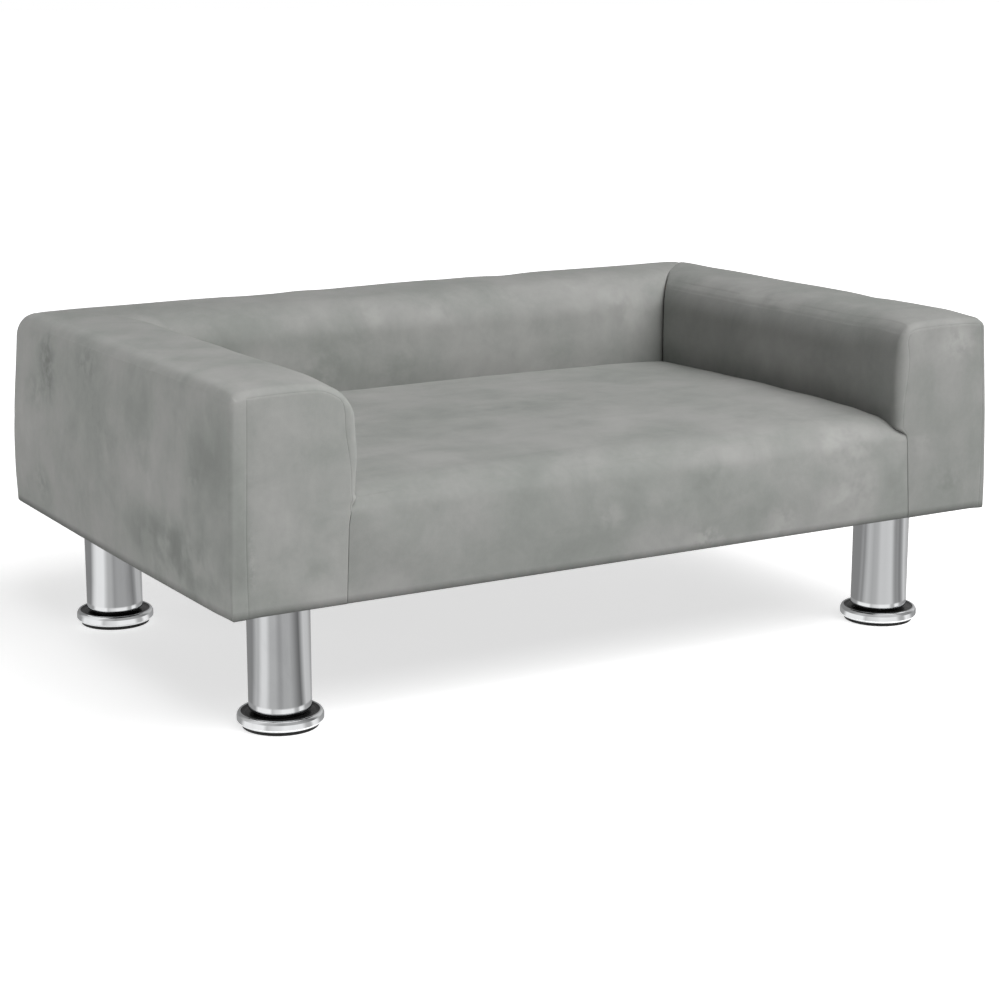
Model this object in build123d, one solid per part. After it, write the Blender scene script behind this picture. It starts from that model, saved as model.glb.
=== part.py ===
from build123d import *
import os

# Dog sofa bed: two padded arms, a padded back, a crowned seat and four tube legs with levelling feet.
# Millimetres. X runs along the sofa, Y from its front to its back, Z up from the floor.
# The origin is on the floor under the middle of the body.

os.makedirs("parts", exist_ok=True)

# Body
body_length = 700.0
body_depth = 450.0
wall_top = 268.5
underside = 105.0
arm_width = 88.0
back_width = 98.0

# Padding of the arms and the back
outer_swell = 4.5
bottom_draw_in = 0.3
top_crown = 1.6
outer_corner = 13.0
inner_corner_reach = 30.0
inner_corner_drop = 27.0
arm_inner_swell = 13.0
back_inner_swell = 11.0
swell_foot_height = 189.0
crease_height = 177.0
arm_front_drop = 2.4
arm_front_edge = 6.5
round_bow_share = 0.205
crease_bow_share = 0.05
shoulder_swell_share = 0.78
foot_swell_share = 0.8
crease_skin_share = 0.5

# Where the arm and back sections stand along their length, and how full each one is
arm_station_shares = (0.0, 0.1, 0.5, 0.82, 1.04)
arm_swell_shares = (0.95, 0.97, 1.0, 0.85, 0.6)
arm_outer_shares = (0.35, 0.6, 0.9, 1.0, 1.0)
arm_drop_shares = (1.0, 0.15, 0.0, 0.0, 0.0)
back_station_shares = (-0.04, 0.2, 0.5, 0.8, 1.04)
back_swell_shares = (0.6, 0.9, 1.0, 0.9, 0.6)
mitre_reach_share = 0.35

# Seat
seat_rear_height = 189.5
seat_rear_round = 22.0
seat_ridge_height = 194.5
seat_ridge_depth = 136.0
seat_nose_top = 192.2
seat_nose_depth = 30.0
seat_nose_height = 172.0
seat_edge_height = 171.0
seat_edge_nose_height = 159.0
seat_front_swell = 2.0
seat_ridge_bow_share = 0.015
seat_rear_bow_share = 0.17
seat_station_shares = (-1.0, -0.965, -0.9, -0.5, 0.0, 0.5, 0.9, 0.965, 1.0)
seat_fullness_shares = (0.0, 0.55, 0.86, 0.98, 1.0, 0.98, 0.86, 0.55, 0.0)
soft_gap = 0.3

# Covers and the sewn arm front panels
velvet = 1.2
arm_front_padding = 4.2
panel_thickness = 3.4
panel_proud = 0.8
panel_edge_round = 1.0
panel_outer_margin = 12.0
panel_top_margin = 6.0
panel_inner_margin = 3.0
panel_inner_reach = 2.5
panel_outer_corner = 5.0
panel_inner_corner = 26.0

# Timber frame
foam_skin = 6.0
rail_thickness = 20.0
rail_height = 47.0
deck_thickness = 6.0
dust_cover_thickness = 0.8
dust_cover_inset = 1.2
dust_cover_corner = 7.0
board = 6.0
top_board = 12.0
front_board = 12.0
top_foam = 8.0
arm_inner_foam = 13.0
back_inner_foam = 6.0
corner_block = 76.0
corner_block_height = 30.0
centre_rail = 40.0

# Legs and their plates
leg_inset_x = 60.0
leg_inset_y = 58.5
tube_radius = 24.0
tube_wall = 1.5
tube_foot_height = 14.0
tube_end_round = 0.7
plate_size = 72.0
plate_thickness = 2.5
plate_corner = 6.0
plate_hole_offset = 28.0

# Levelling feet
foot_travel = 9.0
pad_radius = 29.2
pad_height = 3.0
pad_edge_round = 0.6
pad_stem_radius = 4.0
pad_stem_height = 5.0
foot_gap = 0.1
running_gap = 0.05
rim_radius = 33.0
rim_wall = 3.2
rim_foot_inset = 3.4
rim_lip_inset = 2.1
rim_lip = 0.9
rim_height = 12.4
core_shoulder_height = 11.2
core_neck_height = 11.6
core_neck_radius = 19.5
core_boss_height = 13.7
stem_pocket_height = 5.4
stud_radius = 5.0
stud_spare = 11.0
insert_height = 12.0

# Fasteners
screw_shank_radius = 2.1
screw_head_radius = 4.2
screw_head_height = 2.4
leg_screw_length = 24.0
deck_screw_length = 32.0
screw_gap = 0.05
staple_crown = 10.0
staple_wire = 0.9
staple_leg = 7.0
staple_spacing = 62.0

# Worked out from the sizes above
half_length = body_length / 2
half_depth = body_depth / 2
deck_bottom = underside + rail_height
deck_top = deck_bottom + deck_thickness
box_top = wall_top - top_foam
dust_cover_bottom = underside - dust_cover_thickness
frame_half_length = half_length - foam_skin
frame_half_depth = half_depth - foam_skin
plate_bottom = dust_cover_bottom - plate_thickness
leg_x = half_length - leg_inset_x
leg_y = half_depth - leg_inset_y
pad_top = pad_height + foot_gap
stud_top = tube_foot_height + insert_height + foot_travel + stud_spare
arm_box_inner = half_length - arm_width + arm_inner_foam
back_box_front = half_depth - back_width + back_inner_foam
back_box_rear = frame_half_depth
side_names = ((-1, "left"), (1, "right"))
end_names = ((-1, "front"), (1, "rear"))
legs = [(sx, sy, f"{end}_{side}") for sy, end in end_names for sx, side in side_names]

made = {}


def keep(name, shape):
    """Holds one finished piece under its name, to be written at the end."""
    made[name] = shape


def block(low, high):
    """A plain box between two corners."""
    size = [b - a for a, b in zip(low, high)]
    middle = [(a + b) / 2 for a, b in zip(low, high)]
    return Pos(*middle) * Box(*size)


def mirrored(shape, sx):
    """The left-hand piece as drawn, or its mirror image for the right-hand side."""
    return shape if sx < 0 else mirror(shape, about=Plane.YZ)


def bowed(start, end, bow_share):
    """An arc from start to end that stands out to the left of its chord by a share of the chord."""
    a = Vector(*start)
    b = Vector(*end)
    chord = b - a
    out = Vector(-chord.Y, chord.X, 0)
    return ThreePointArc(a, (a + b) / 2 + out * bow_share, b)


# Padded walls: the section of an arm or the back, across its width

def wall_section(width, swell, outer_share, drop, skin):
    """The outline from the outer face (first coordinate 0) over the top to the inner face.

    outer_share is how much of the outer face's swell this section has. skin draws the outline
    in by a fabric's thickness, for the space inside a cover.
    """
    top = wall_top - drop
    outer_foot = (bottom_draw_in + skin, underside)
    outer_shoulder = (skin, top - outer_corner)
    outer_top = (outer_corner, top - skin)
    inner_top = (width + swell - inner_corner_reach, top - skin)
    inner_shoulder = (width + swell * shoulder_swell_share - skin, top - inner_corner_drop)
    swell_foot = (width + swell * foot_swell_share - skin, swell_foot_height + skin * crease_skin_share)
    crease = (width - skin, crease_height + skin * crease_skin_share)
    inner_foot = (width - skin, underside)
    face_bow = outer_swell * outer_share / (top - outer_corner - underside)
    swell_bow = swell * (1 - foot_swell_share) / (top - inner_corner_drop - swell_foot_height)
    crown_bow = top_crown / (width - outer_corner)
    edges = [
        bowed(outer_foot, outer_shoulder, face_bow),
        bowed(outer_shoulder, outer_top, round_bow_share),
        bowed(outer_top, inner_top, crown_bow),
        bowed(inner_top, inner_shoulder, round_bow_share),
        bowed(inner_shoulder, swell_foot, swell_bow),
        bowed(swell_foot, crease, crease_bow_share),
        Line(crease, inner_foot),
        Line(inner_foot, outer_foot),
    ]
    return make_face(edges)


def arm_form(skin, front_skin):
    """The whole left arm as one padded form, running back past the mitre."""
    sections = []
    stations = zip(arm_station_shares, arm_swell_shares, arm_outer_shares, arm_drop_shares)
    for place, fullness, outer_share, drop in stations:
        y = -half_depth + body_depth * place
        plane = Plane(origin=(-half_length, y, 0), x_dir=(1, 0, 0), z_dir=(0, -1, 0))
        face = wall_section(arm_width, arm_inner_swell * fullness, outer_share, arm_front_drop * drop, skin)
        sections.append(plane * face)
    form = loft(sections)
    front = half_depth - front_skin
    ahead = block((-body_length, -body_depth, 0), (0, -front, body_depth))
    return form - ahead if front_skin > 0 else form


def back_form(skin):
    """The whole back as one padded form, running past both mitres."""
    sections = []
    for place, fullness in zip(back_station_shares, back_swell_shares):
        x = -half_length + body_length * place
        plane = Plane(origin=(x, half_depth, 0), x_dir=(0, -1, 0), z_dir=(-1, 0, 0))
        sections.append(plane * wall_section(back_width, back_inner_swell * fullness, 1, 0, skin))
    return loft(sections)


# The mitre runs from the outer corner to the inner corner of arm and back
mitre_out = (-half_length - arm_width * mitre_reach_share, half_depth + back_width * mitre_reach_share)
mitre_in = (
    -half_length + arm_width * (1 + mitre_reach_share),
    half_depth - back_width * (1 + mitre_reach_share),
)


def prism(points):
    """An upright prism over a plan outline, taller than the sofa."""
    outline = make_face(Polyline(*points, close=True))
    return extrude(outline, amount=body_depth)


arm_zone = prism([mitre_out, mitre_in, (mitre_in[0], -body_depth), (mitre_out[0], -body_depth)])
back_zone = prism([mitre_out, mitre_in, (-mitre_in[0], mitre_in[1]), (-mitre_out[0], mitre_out[1])])

# Space taken by the timber inside the padding
base_space = block(
    (-frame_half_length, -frame_half_depth, underside), (frame_half_length, frame_half_depth, deck_top)
)
arm_box_space = block(
    (-frame_half_length, -frame_half_depth, deck_top), (-arm_box_inner, frame_half_depth, box_top)
)
back_box_space = block(
    (-frame_half_length, back_box_front, deck_top), (frame_half_length, back_box_rear, box_top)
)
timber_space = base_space + arm_box_space + mirror(arm_box_space, about=Plane.YZ) + back_box_space


# Seat

def seat_section(fullness, skin):
    """The seat's outline along Y, from the front face over the nose to the back.

    fullness is 1 in the middle of the seat and 0 at its sides, where the top is pulled down.
    """
    def height(full, edge):
        return edge + (full - edge) * fullness - skin

    depth = body_depth - back_width - soft_gap
    front_foot = (bottom_draw_in + skin, underside)
    nose = (skin, height(seat_nose_height, seat_edge_nose_height) + skin)
    nose_top = (seat_nose_depth, height(seat_nose_top, seat_edge_height))
    ridge_end = (seat_ridge_depth, height(seat_ridge_height, seat_edge_height))
    rear_top = (depth - seat_rear_round - skin, height(seat_rear_height, seat_edge_height))
    rear_edge = (depth - skin, height(seat_edge_height, seat_edge_nose_height) + skin)
    rear_foot = (depth - skin, underside)
    face_bow = seat_front_swell / (seat_nose_height - underside)
    edges = [
        bowed(front_foot, nose, face_bow),
        bowed(nose, nose_top, round_bow_share),
        bowed(nose_top, ridge_end, seat_ridge_bow_share),
        Line(ridge_end, rear_top),
        bowed(rear_top, rear_edge, seat_rear_bow_share),
        Line(rear_edge, rear_foot),
        Line(rear_foot, front_foot),
    ]
    return make_face(edges)


def seat_form(skin):
    """The whole seat pad as one crowned form between the arms."""
    half_width = half_length - arm_width - soft_gap - skin
    sections = []
    for place, fullness in zip(seat_station_shares, seat_fullness_shares):
        plane = Plane(origin=(half_width * place, -half_depth, 0), x_dir=(0, 1, 0), z_dir=(1, 0, 0))
        sections.append(plane * seat_section(fullness, skin))
    return loft(sections)


# Arm front panels

def panel_outline(gap):
    """The sewn panel on the left arm's front, drawn in by a gap all round."""
    left = panel_outer_margin + gap
    right = arm_width + panel_inner_reach - gap
    foot_right = arm_width - panel_inner_margin - gap
    top = wall_top - arm_front_drop - panel_top_margin - gap
    foot = underside + gap
    outer_corner_foot = (left, top - panel_outer_corner)
    outer_corner_top = (left + panel_outer_corner, top)
    inner_corner_top = (right - panel_inner_corner, top)
    inner_corner_foot = (right, top - panel_inner_corner)
    crease = (foot_right, crease_height)
    edges = [
        Line((left, foot), outer_corner_foot),
        bowed(outer_corner_foot, outer_corner_top, round_bow_share),
        Line(outer_corner_top, inner_corner_top),
        bowed(inner_corner_top, inner_corner_foot, round_bow_share),
        Line(inner_corner_foot, crease),
        Line(crease, (foot_right, foot)),
        Line((foot_right, foot), (left, foot)),
    ]
    return make_face(edges)


def panel_solid(gap, front, rear):
    """The panel's outline as a slab between two places along Y."""
    plane = Plane(origin=(-half_length, rear, 0), x_dir=(1, 0, 0), z_dir=(0, -1, 0))
    return extrude(plane * panel_outline(gap), amount=rear - front)


panel_front = -half_depth - panel_proud
panel_rear = panel_front + panel_thickness
panel_pocket = panel_solid(0, -half_depth - body_depth, panel_rear)
panel = panel_solid(soft_gap, panel_front, panel_rear)
panel = fillet(panel.faces().sort_by(Axis.Y)[0].edges(), panel_edge_round)

# Arms: cover and foam
arm_outer = arm_form(0, 0)
front_edges = [
    edge
    for edge in arm_outer.faces().sort_by(Axis.Y)[0].edges()
    if edge.center().Z > underside + bottom_draw_in
]
arm_outer = fillet(front_edges, arm_front_edge)
arm_outer = arm_outer & arm_zone
arm_inner = arm_form(velvet, arm_front_padding) & arm_zone
arm_cover = arm_outer - arm_inner - base_space - panel_pocket
arm_filling = arm_form(velvet + soft_gap, arm_front_padding + soft_gap) & arm_zone
arm_foam = arm_filling - timber_space
for sx, side in side_names:
    keep(f"{side}_arm_cover", mirrored(arm_cover, sx))
    keep(f"{side}_arm_foam", mirrored(arm_foam, sx))
    keep(f"{side}_arm_front_panel", mirrored(panel, sx))

# Back: cover and foam
back_outer = back_form(0) & back_zone
back_inner = back_form(velvet) & back_zone
keep("back_cover", back_outer - back_inner - base_space)
keep("back_foam", (back_form(velvet + soft_gap) & back_zone) - timber_space)

# Seat: cover and foam
keep("seat_cover", seat_form(0) - seat_form(velvet) - base_space)
keep("seat_foam", seat_form(velvet + soft_gap) - timber_space)


# Screws and the holes that take them

def screw(x, y, z, length, up, gap):
    """A screw whose head's outer face is at z; up is 1 when it is driven upwards and -1 when down."""
    head = Cylinder(screw_head_radius + gap, screw_head_height)
    shank = Cylinder(screw_shank_radius + gap, length + gap)
    head = Pos(x, y, z + up * screw_head_height / 2) * head
    shank = Pos(x, y, z + up * (screw_head_height + (length + gap) / 2)) * shank
    return head + shank


leg_screw_places = [
    (sx * leg_x + ix * plate_hole_offset, sy * leg_y + iy * plate_hole_offset)
    for sx, sy, _ in legs
    for ix in (-1, 1)
    for iy in (-1, 1)
]
leg_screw_face = plate_bottom - screw_head_height
leg_screw_holes = [
    Pos(x, y, leg_screw_face + screw_head_height + (leg_screw_length + screw_gap) / 2)
    * Cylinder(screw_shank_radius + screw_gap, leg_screw_length + screw_gap)
    for x, y in leg_screw_places
]
rail_middle_x = frame_half_length - rail_thickness / 2
rail_middle_y = frame_half_depth - rail_thickness / 2
deck_row_shares = (-0.92, -0.4, 0.4, 0.92)
deck_column_shares = (-0.45, 0.45)
deck_screw_places = [
    (rail_middle_x * share, sy * rail_middle_y) for sy in (-1, 1) for share in deck_row_shares
]
deck_screw_places += [
    (sx * rail_middle_x, rail_middle_y * share) for sx in (-1, 1) for share in deck_column_shares
]
deck_screw_places += [(0, rail_middle_y * share) for share in deck_column_shares]
deck_screws = [screw(x, y, deck_top, deck_screw_length, -1, 0) for x, y in deck_screw_places]
deck_screw_holes = [screw(x, y, deck_top, deck_screw_length, -1, screw_gap) for x, y in deck_screw_places]
keep("frame_screws", Compound(children=deck_screws))
leg_screws = [screw(x, y, leg_screw_face, leg_screw_length, 1, 0) for x, y in leg_screw_places]
keep("leg_screws", Compound(children=leg_screws))

# Base frame
rail_inner_x = frame_half_length - rail_thickness
rail_inner_y = frame_half_depth - rail_thickness
rails = {
    "base_front_rail": block(
        (-frame_half_length, -frame_half_depth, underside), (frame_half_length, -rail_inner_y, deck_bottom)
    ),
    "base_rear_rail": block(
        (-frame_half_length, rail_inner_y, underside), (frame_half_length, frame_half_depth, deck_bottom)
    ),
    "base_left_rail": block(
        (-frame_half_length, -rail_inner_y, underside), (-rail_inner_x, rail_inner_y, deck_bottom)
    ),
    "base_right_rail": block(
        (rail_inner_x, -rail_inner_y, underside), (frame_half_length, rail_inner_y, deck_bottom)
    ),
    "base_centre_rail": block(
        (-centre_rail / 2, -rail_inner_y, underside), (centre_rail / 2, rail_inner_y, deck_bottom)
    ),
}
for name, rail in rails.items():
    keep(name, rail - deck_screw_holes)
deck = block(
    (-frame_half_length, -frame_half_depth, deck_bottom), (frame_half_length, frame_half_depth, deck_top)
)
keep("seat_deck", deck - deck_screw_holes)
for sx, sy, name in legs:
    far = (sx * rail_inner_x, sy * rail_inner_y)
    near = (sx * (rail_inner_x - corner_block), sy * (rail_inner_y - corner_block))
    low = (min(far[0], near[0]), min(far[1], near[1]), underside)
    high = (max(far[0], near[0]), max(far[1], near[1]), underside + corner_block_height)
    keep(f"corner_block_{name}", block(low, high) - leg_screw_holes)

# Dust cover under the frame
dust_half_length = half_length - dust_cover_inset
dust_half_depth = half_depth - dust_cover_inset
dust_cover = block(
    (-dust_half_length, -dust_half_depth, dust_cover_bottom), (dust_half_length, dust_half_depth, underside)
)
dust_cover = fillet(dust_cover.edges().filter_by(Axis.Z), dust_cover_corner)
keep("dust_cover", dust_cover - leg_screw_holes)

# Board boxes in the arms
box_side_top = box_top - top_board
arm_boards = {
    "outer_board": block(
        (-frame_half_length, -frame_half_depth, deck_top),
        (-frame_half_length + board, frame_half_depth, box_side_top),
    ),
    "inner_board": block(
        (-arm_box_inner - board, -frame_half_depth, deck_top),
        (-arm_box_inner, frame_half_depth, box_side_top),
    ),
    "top_board": block(
        (-frame_half_length, -frame_half_depth, box_side_top), (-arm_box_inner, frame_half_depth, box_top)
    ),
    "front_board": block(
        (-frame_half_length + board, -frame_half_depth, deck_top),
        (-arm_box_inner - board, -frame_half_depth + front_board, box_side_top),
    ),
}
for sx, side in side_names:
    for name, shape in arm_boards.items():
        keep(f"{side}_arm_{name}", mirrored(shape, sx))

# Board box in the back, between the arm boxes
keep(
    "back_outer_board",
    block((-arm_box_inner, back_box_rear - board, deck_top), (arm_box_inner, back_box_rear, box_side_top)),
)
keep(
    "back_inner_board",
    block((-arm_box_inner, back_box_front, deck_top), (arm_box_inner, back_box_front + board, box_side_top)),
)
keep(
    "back_top_board",
    block((-arm_box_inner, back_box_front, box_side_top), (arm_box_inner, back_box_rear, box_top)),
)


# Staples that hold the dust cover to the rails

def staple(x, y, along_x):
    """One staple with its crown under the dust cover and its legs up through it into a rail."""
    half = staple_crown / 2
    low = dust_cover_bottom - staple_wire
    shape = block((-half, -staple_wire / 2, low), (half, staple_wire / 2, dust_cover_bottom))
    for end in (-1, 1):
        inner = end * (half - staple_wire)
        low_x = min(end * half, inner)
        leg = block(
            (low_x, -staple_wire / 2, dust_cover_bottom),
            (low_x + staple_wire, staple_wire / 2, low + staple_leg),
        )
        shape = shape + leg
    return Pos(x, y, 0) * Rot(0, 0, 0 if along_x else 90) * shape


def spaced(half_span):
    """Places from end to end of a rail, about a staple spacing apart."""
    count = round(2 * half_span / staple_spacing)
    return [-half_span + 2 * half_span * (i + 0.5) / count for i in range(count)]


staples = [staple(x, sy * rail_middle_y, True) for sy in (-1, 1) for x in spaced(frame_half_length)]
staples += [staple(sx * rail_middle_x, y, False) for sx in (-1, 1) for y in spaced(rail_inner_y)]
keep("staples", Compound(children=staples))


# Legs and levelling feet, drawn about the Z axis

def turned(points):
    """A solid of revolution about Z from an outline of (radius, height) points."""
    outline = make_face(Plane.XZ * Polyline(*points, close=True))
    return revolve(outline, axis=Axis.Z)


def ring(outer, inner, low, high):
    """A round tube or washer about Z."""
    return turned([(inner, low), (outer, low), (outer, high), (inner, high)])


tube = ring(tube_radius, tube_radius - tube_wall, tube_foot_height, plate_bottom)
tube_end = tube.edges().filter_by(GeomType.CIRCLE).group_by(Axis.Z)[0].sort_by(SortBy.RADIUS)[-1]
tube = fillet(tube_end, tube_end_round)

plate = Pos(0, 0, plate_bottom + plate_thickness / 2) * Box(plate_size, plate_size, plate_thickness)
plate = fillet(plate.edges().filter_by(Axis.Z), plate_corner)
insert = ring(
    tube_radius - tube_wall - running_gap,
    stud_radius + running_gap,
    tube_foot_height,
    tube_foot_height + insert_height,
)
stud = Pos(0, 0, (stem_pocket_height + stud_top) / 2) * Cylinder(stud_radius, stud_top - stem_pocket_height)
core = turned(
    [
        (pad_stem_radius + foot_gap, pad_top),
        (rim_radius - rim_wall - running_gap, pad_top),
        (rim_radius - rim_wall - running_gap, core_shoulder_height),
        (core_neck_radius, core_neck_height),
        (core_neck_radius, core_boss_height),
        (stud_radius + running_gap, core_boss_height),
        (stud_radius + running_gap, stem_pocket_height),
        (pad_stem_radius + foot_gap, stem_pocket_height),
    ]
)
rim_foot = Vector(rim_radius - rim_foot_inset + rim_lip, pad_top)
rim_lip_out = Vector(rim_radius - rim_lip_inset, rim_height - rim_lip)
rim_bulge = Vector(rim_radius, (pad_top + rim_height) / 2)
rim_crest = Vector(rim_radius - rim_lip_inset - rim_lip / 2, rim_height)
rim_inner_top = Vector(rim_radius - rim_wall, rim_height - rim_lip)
rim_inner_foot = Vector(rim_radius - rim_wall, pad_top)
rim_edges = [
    Line(rim_inner_foot, rim_foot),
    ThreePointArc(rim_foot, rim_bulge, rim_lip_out),
    ThreePointArc(rim_lip_out, rim_crest, rim_inner_top),
    Line(rim_inner_top, rim_inner_foot),
]
rim = revolve(make_face(Plane.XZ * Curve(children=rim_edges)), axis=Axis.Z)
pad_disc = Pos(0, 0, pad_height / 2) * Cylinder(pad_radius, pad_height)
pad_disc = fillet(pad_disc.edges().filter_by(GeomType.CIRCLE), pad_edge_round)
pad = pad_disc + Pos(0, 0, pad_stem_height / 2) * Cylinder(pad_stem_radius, pad_stem_height)

inserts = []
for sx, sy, name in legs:
    place = Pos(sx * leg_x, sy * leg_y, 0)
    keep(f"leg_tube_{name}", place * tube)
    keep(f"mount_plate_{name}", place * plate - leg_screw_holes)
    keep(f"foot_stud_{name}", place * stud)
    keep(f"foot_core_{name}", place * core)
    keep(f"foot_rim_{name}", place * rim)
    keep(f"foot_pad_{name}", place * pad)
    inserts.append(place * insert)
keep("threaded_inserts", Compound(children=inserts))

for name, shape in made.items():
    export_step(shape, f"parts/{name}.step")
print(len(made), "pieces written; the feet screw down", foot_travel, "mm")
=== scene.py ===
# %% [markdown]
# # A dog's sofa bed in grey velvet
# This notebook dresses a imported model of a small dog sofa. The model gives the frame: where each piece
# is and what moves. Here the padded pieces, the chromed legs and all the finishes are made in Blender.
# Lengths are in metres, so a size in millimetres is written as a number times MM.

# %% The frame and its box
import math
import bmesh
import bpy
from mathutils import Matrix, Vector, noise


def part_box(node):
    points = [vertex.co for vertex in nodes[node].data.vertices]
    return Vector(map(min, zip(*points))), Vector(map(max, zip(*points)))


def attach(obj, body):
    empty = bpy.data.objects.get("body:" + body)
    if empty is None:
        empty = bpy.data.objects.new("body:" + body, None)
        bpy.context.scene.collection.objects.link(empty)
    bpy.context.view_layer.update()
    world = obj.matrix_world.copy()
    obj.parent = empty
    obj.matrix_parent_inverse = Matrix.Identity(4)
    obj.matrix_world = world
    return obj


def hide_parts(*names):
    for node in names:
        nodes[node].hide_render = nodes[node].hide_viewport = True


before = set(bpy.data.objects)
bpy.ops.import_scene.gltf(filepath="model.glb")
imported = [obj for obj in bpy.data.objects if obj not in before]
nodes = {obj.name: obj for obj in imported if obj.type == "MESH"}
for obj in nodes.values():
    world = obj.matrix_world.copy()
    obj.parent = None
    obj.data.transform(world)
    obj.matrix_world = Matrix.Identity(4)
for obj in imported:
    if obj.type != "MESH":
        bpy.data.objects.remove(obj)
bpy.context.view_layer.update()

MM = 0.001

# %% [markdown]
# ## Camera
# The photograph was taken from the left front corner, a little above the sofa, with a long lens. The
# camera's place was found by fitting the sofa's corners and leg tubes to their places in the picture.

# %% Camera
camera_data = bpy.data.cameras.new("studio_camera")
camera_data.lens = 83.8
camera_data.sensor_width = 36.0
camera_data.clip_end = 100.0
studio_camera = bpy.data.objects.new("studio_camera", camera_data)
studio_camera.location = (-1.0078, -1.6917, 0.5553)
studio_camera.rotation_euler = (math.radians(90 - 12.817), 0, math.radians(-30.846))
bpy.context.scene.collection.objects.link(studio_camera)
bpy.context.scene.camera = studio_camera
bpy.context.scene.view_settings.view_transform = "Standard"
print("camera lens", camera_data.lens, "mm")

# %% Helpers for numbers
def clamped(share):
    """The share, kept from 0 to 1."""
    return min(1.0, max(0.0, share))


def between(first, second, share):
    """The value at a share of the way from the first to the second."""
    return first + (second - first) * share


def ease(value, low, high):
    """0 below low, 1 above high and a smooth rise between."""
    share = clamped((value - low) / (high - low))
    return share * share * (3 - 2 * share)


def along(share, knots):
    """A value read off a line of (share, value) knots, eased between them."""
    for (low, first), (high, second) in zip(knots, knots[1:]):
        if share <= high:
            return between(first, second, ease(share, low, high))
    return knots[-1][1]


# %% Making an object of a form
def make_object(name, form):
    """A linked object whose smooth mesh is the bmesh form; the form is then freed."""
    mesh = bpy.data.meshes.new(name)
    form.to_mesh(mesh)
    form.free()
    mesh.shade_smooth()
    made_object = bpy.data.objects.new(name, mesh)
    bpy.context.scene.collection.objects.link(made_object)
    return made_object


# %% [markdown]
# ## Small helpers for materials
# Every finish is a node tree. These helpers add a node, join two sockets and start a material, so that
# the cells below show only what makes each finish what it is.


# %% Material helpers
def fill(tree, node, inputs):
    """Links a socket, or writes a value, to each named input of a node."""
    for key, value in inputs.items():
        if isinstance(value, bpy.types.NodeSocket):
            tree.links.new(value, node.inputs[key])
        else:
            node.inputs[key].default_value = value
    return node


def add_node(tree, kind, inputs=None, **settings):
    """A new node with its settings and its inputs filled in."""
    node = tree.nodes.new(kind)
    for key, value in settings.items():
        setattr(node, key, value)
    return fill(tree, node, inputs or {})


def calculate(tree, operation, first, second=0.0, third=0.0, clamp=False):
    """The result socket of one Math node."""
    inputs = {0: first, 1: second}
    if operation in ("MULTIPLY_ADD", "SMOOTH_MIN", "SMOOTH_MAX"):
        inputs[2] = third
    return add_node(tree, "ShaderNodeMath", inputs, operation=operation, use_clamp=clamp).outputs[0]


def spread(tree, value, low, high, to_low=0.0, to_high=1.0):
    """The value's range low to high turned smoothly into another range."""
    inputs = {"Value": value, "From Min": low, "From Max": high, "To Min": to_low, "To Max": to_high}
    return add_node(tree, "ShaderNodeMapRange", inputs, interpolation_type="SMOOTHSTEP").outputs["Result"]


def mix_colours(tree, share, first, second):
    """The colour socket of a Mix node between two colours."""
    return add_node(tree, "ShaderNodeMix", {0: share, 6: first, 7: second}, data_type="RGBA").outputs[2]


def cloud(tree, place, scale, detail=3.0, roughness=0.5, distortion=0.0):
    """The grey value of a noise texture."""
    inputs = {"Vector": place, "Scale": scale, "Detail": detail, "Roughness": roughness}
    inputs["Distortion"] = distortion
    return add_node(tree, "ShaderNodeTexNoise", inputs).outputs["Fac"]


def stretched(tree, place, scale, shift=(0, 0, 0), turn=(0, 0, 0)):
    """The same place with its axes stretched, shifted or turned."""
    inputs = {"Vector": place, "Scale": scale, "Location": shift, "Rotation": turn}
    return add_node(tree, "ShaderNodeMapping", inputs).outputs["Vector"]


def grey(value):
    """A neutral colour of one value."""
    return (value, value, value, 1)


def start_material(name, **settings):
    """A new material, its tree, its Principled shader and the Object coordinates socket."""
    material = bpy.data.materials.new(name)
    material.use_nodes = True
    tree = material.node_tree
    shader = tree.nodes["Principled BSDF"]
    for key, value in settings.items():
        shader.inputs[key.replace("_", " ")].default_value = value
    place = tree.nodes.new("ShaderNodeTexCoord").outputs["Object"]
    return material, tree, shader, place


def start_group(name, inputs, outputs):
    """A new node group with named inputs and outputs, given as (name, kind, default)."""
    group = bpy.data.node_groups.new(name, "ShaderNodeTree")
    for label, kind, default in inputs:
        socket = group.interface.new_socket(label, in_out="INPUT", socket_type="NodeSocket" + kind)
        if default is not None:
            socket.default_value = default
    for label, kind in outputs:
        group.interface.new_socket(label, in_out="OUTPUT", socket_type="NodeSocket" + kind)
    return group, group.nodes.new("NodeGroupInput").outputs, group.nodes.new("NodeGroupOutput").inputs


def place_group(tree, group, inputs):
    """A node group placed in a material."""
    return add_node(tree, "ShaderNodeGroup", inputs, node_tree=group).outputs


def bump_from(tree, shader, height, distance, strength=1.0):
    """A Bump node between a height and the shader's normal."""
    bump = add_node(tree, "ShaderNodeBump", {"Height": height, "Distance": distance, "Strength": strength})
    tree.links.new(bump.outputs["Normal"], shader.inputs["Normal"])


# %% [markdown]
# ## Studio
# The sofa stands on a pale floor in a white room. The world is white to the camera and in the chrome,
# and gives only a faint light to the fabric. Two large soft lamps hang above the front, one of them to
# the right, so the tops are lightest, the fronts a little darker and the inner face of the right arm
# darkest. Long low lamps at floor height light the outer sides and leave the space inside alone. The
# strengths were found by rendering each lamp alone and fitting their sum to the tones of the photograph.

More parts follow.
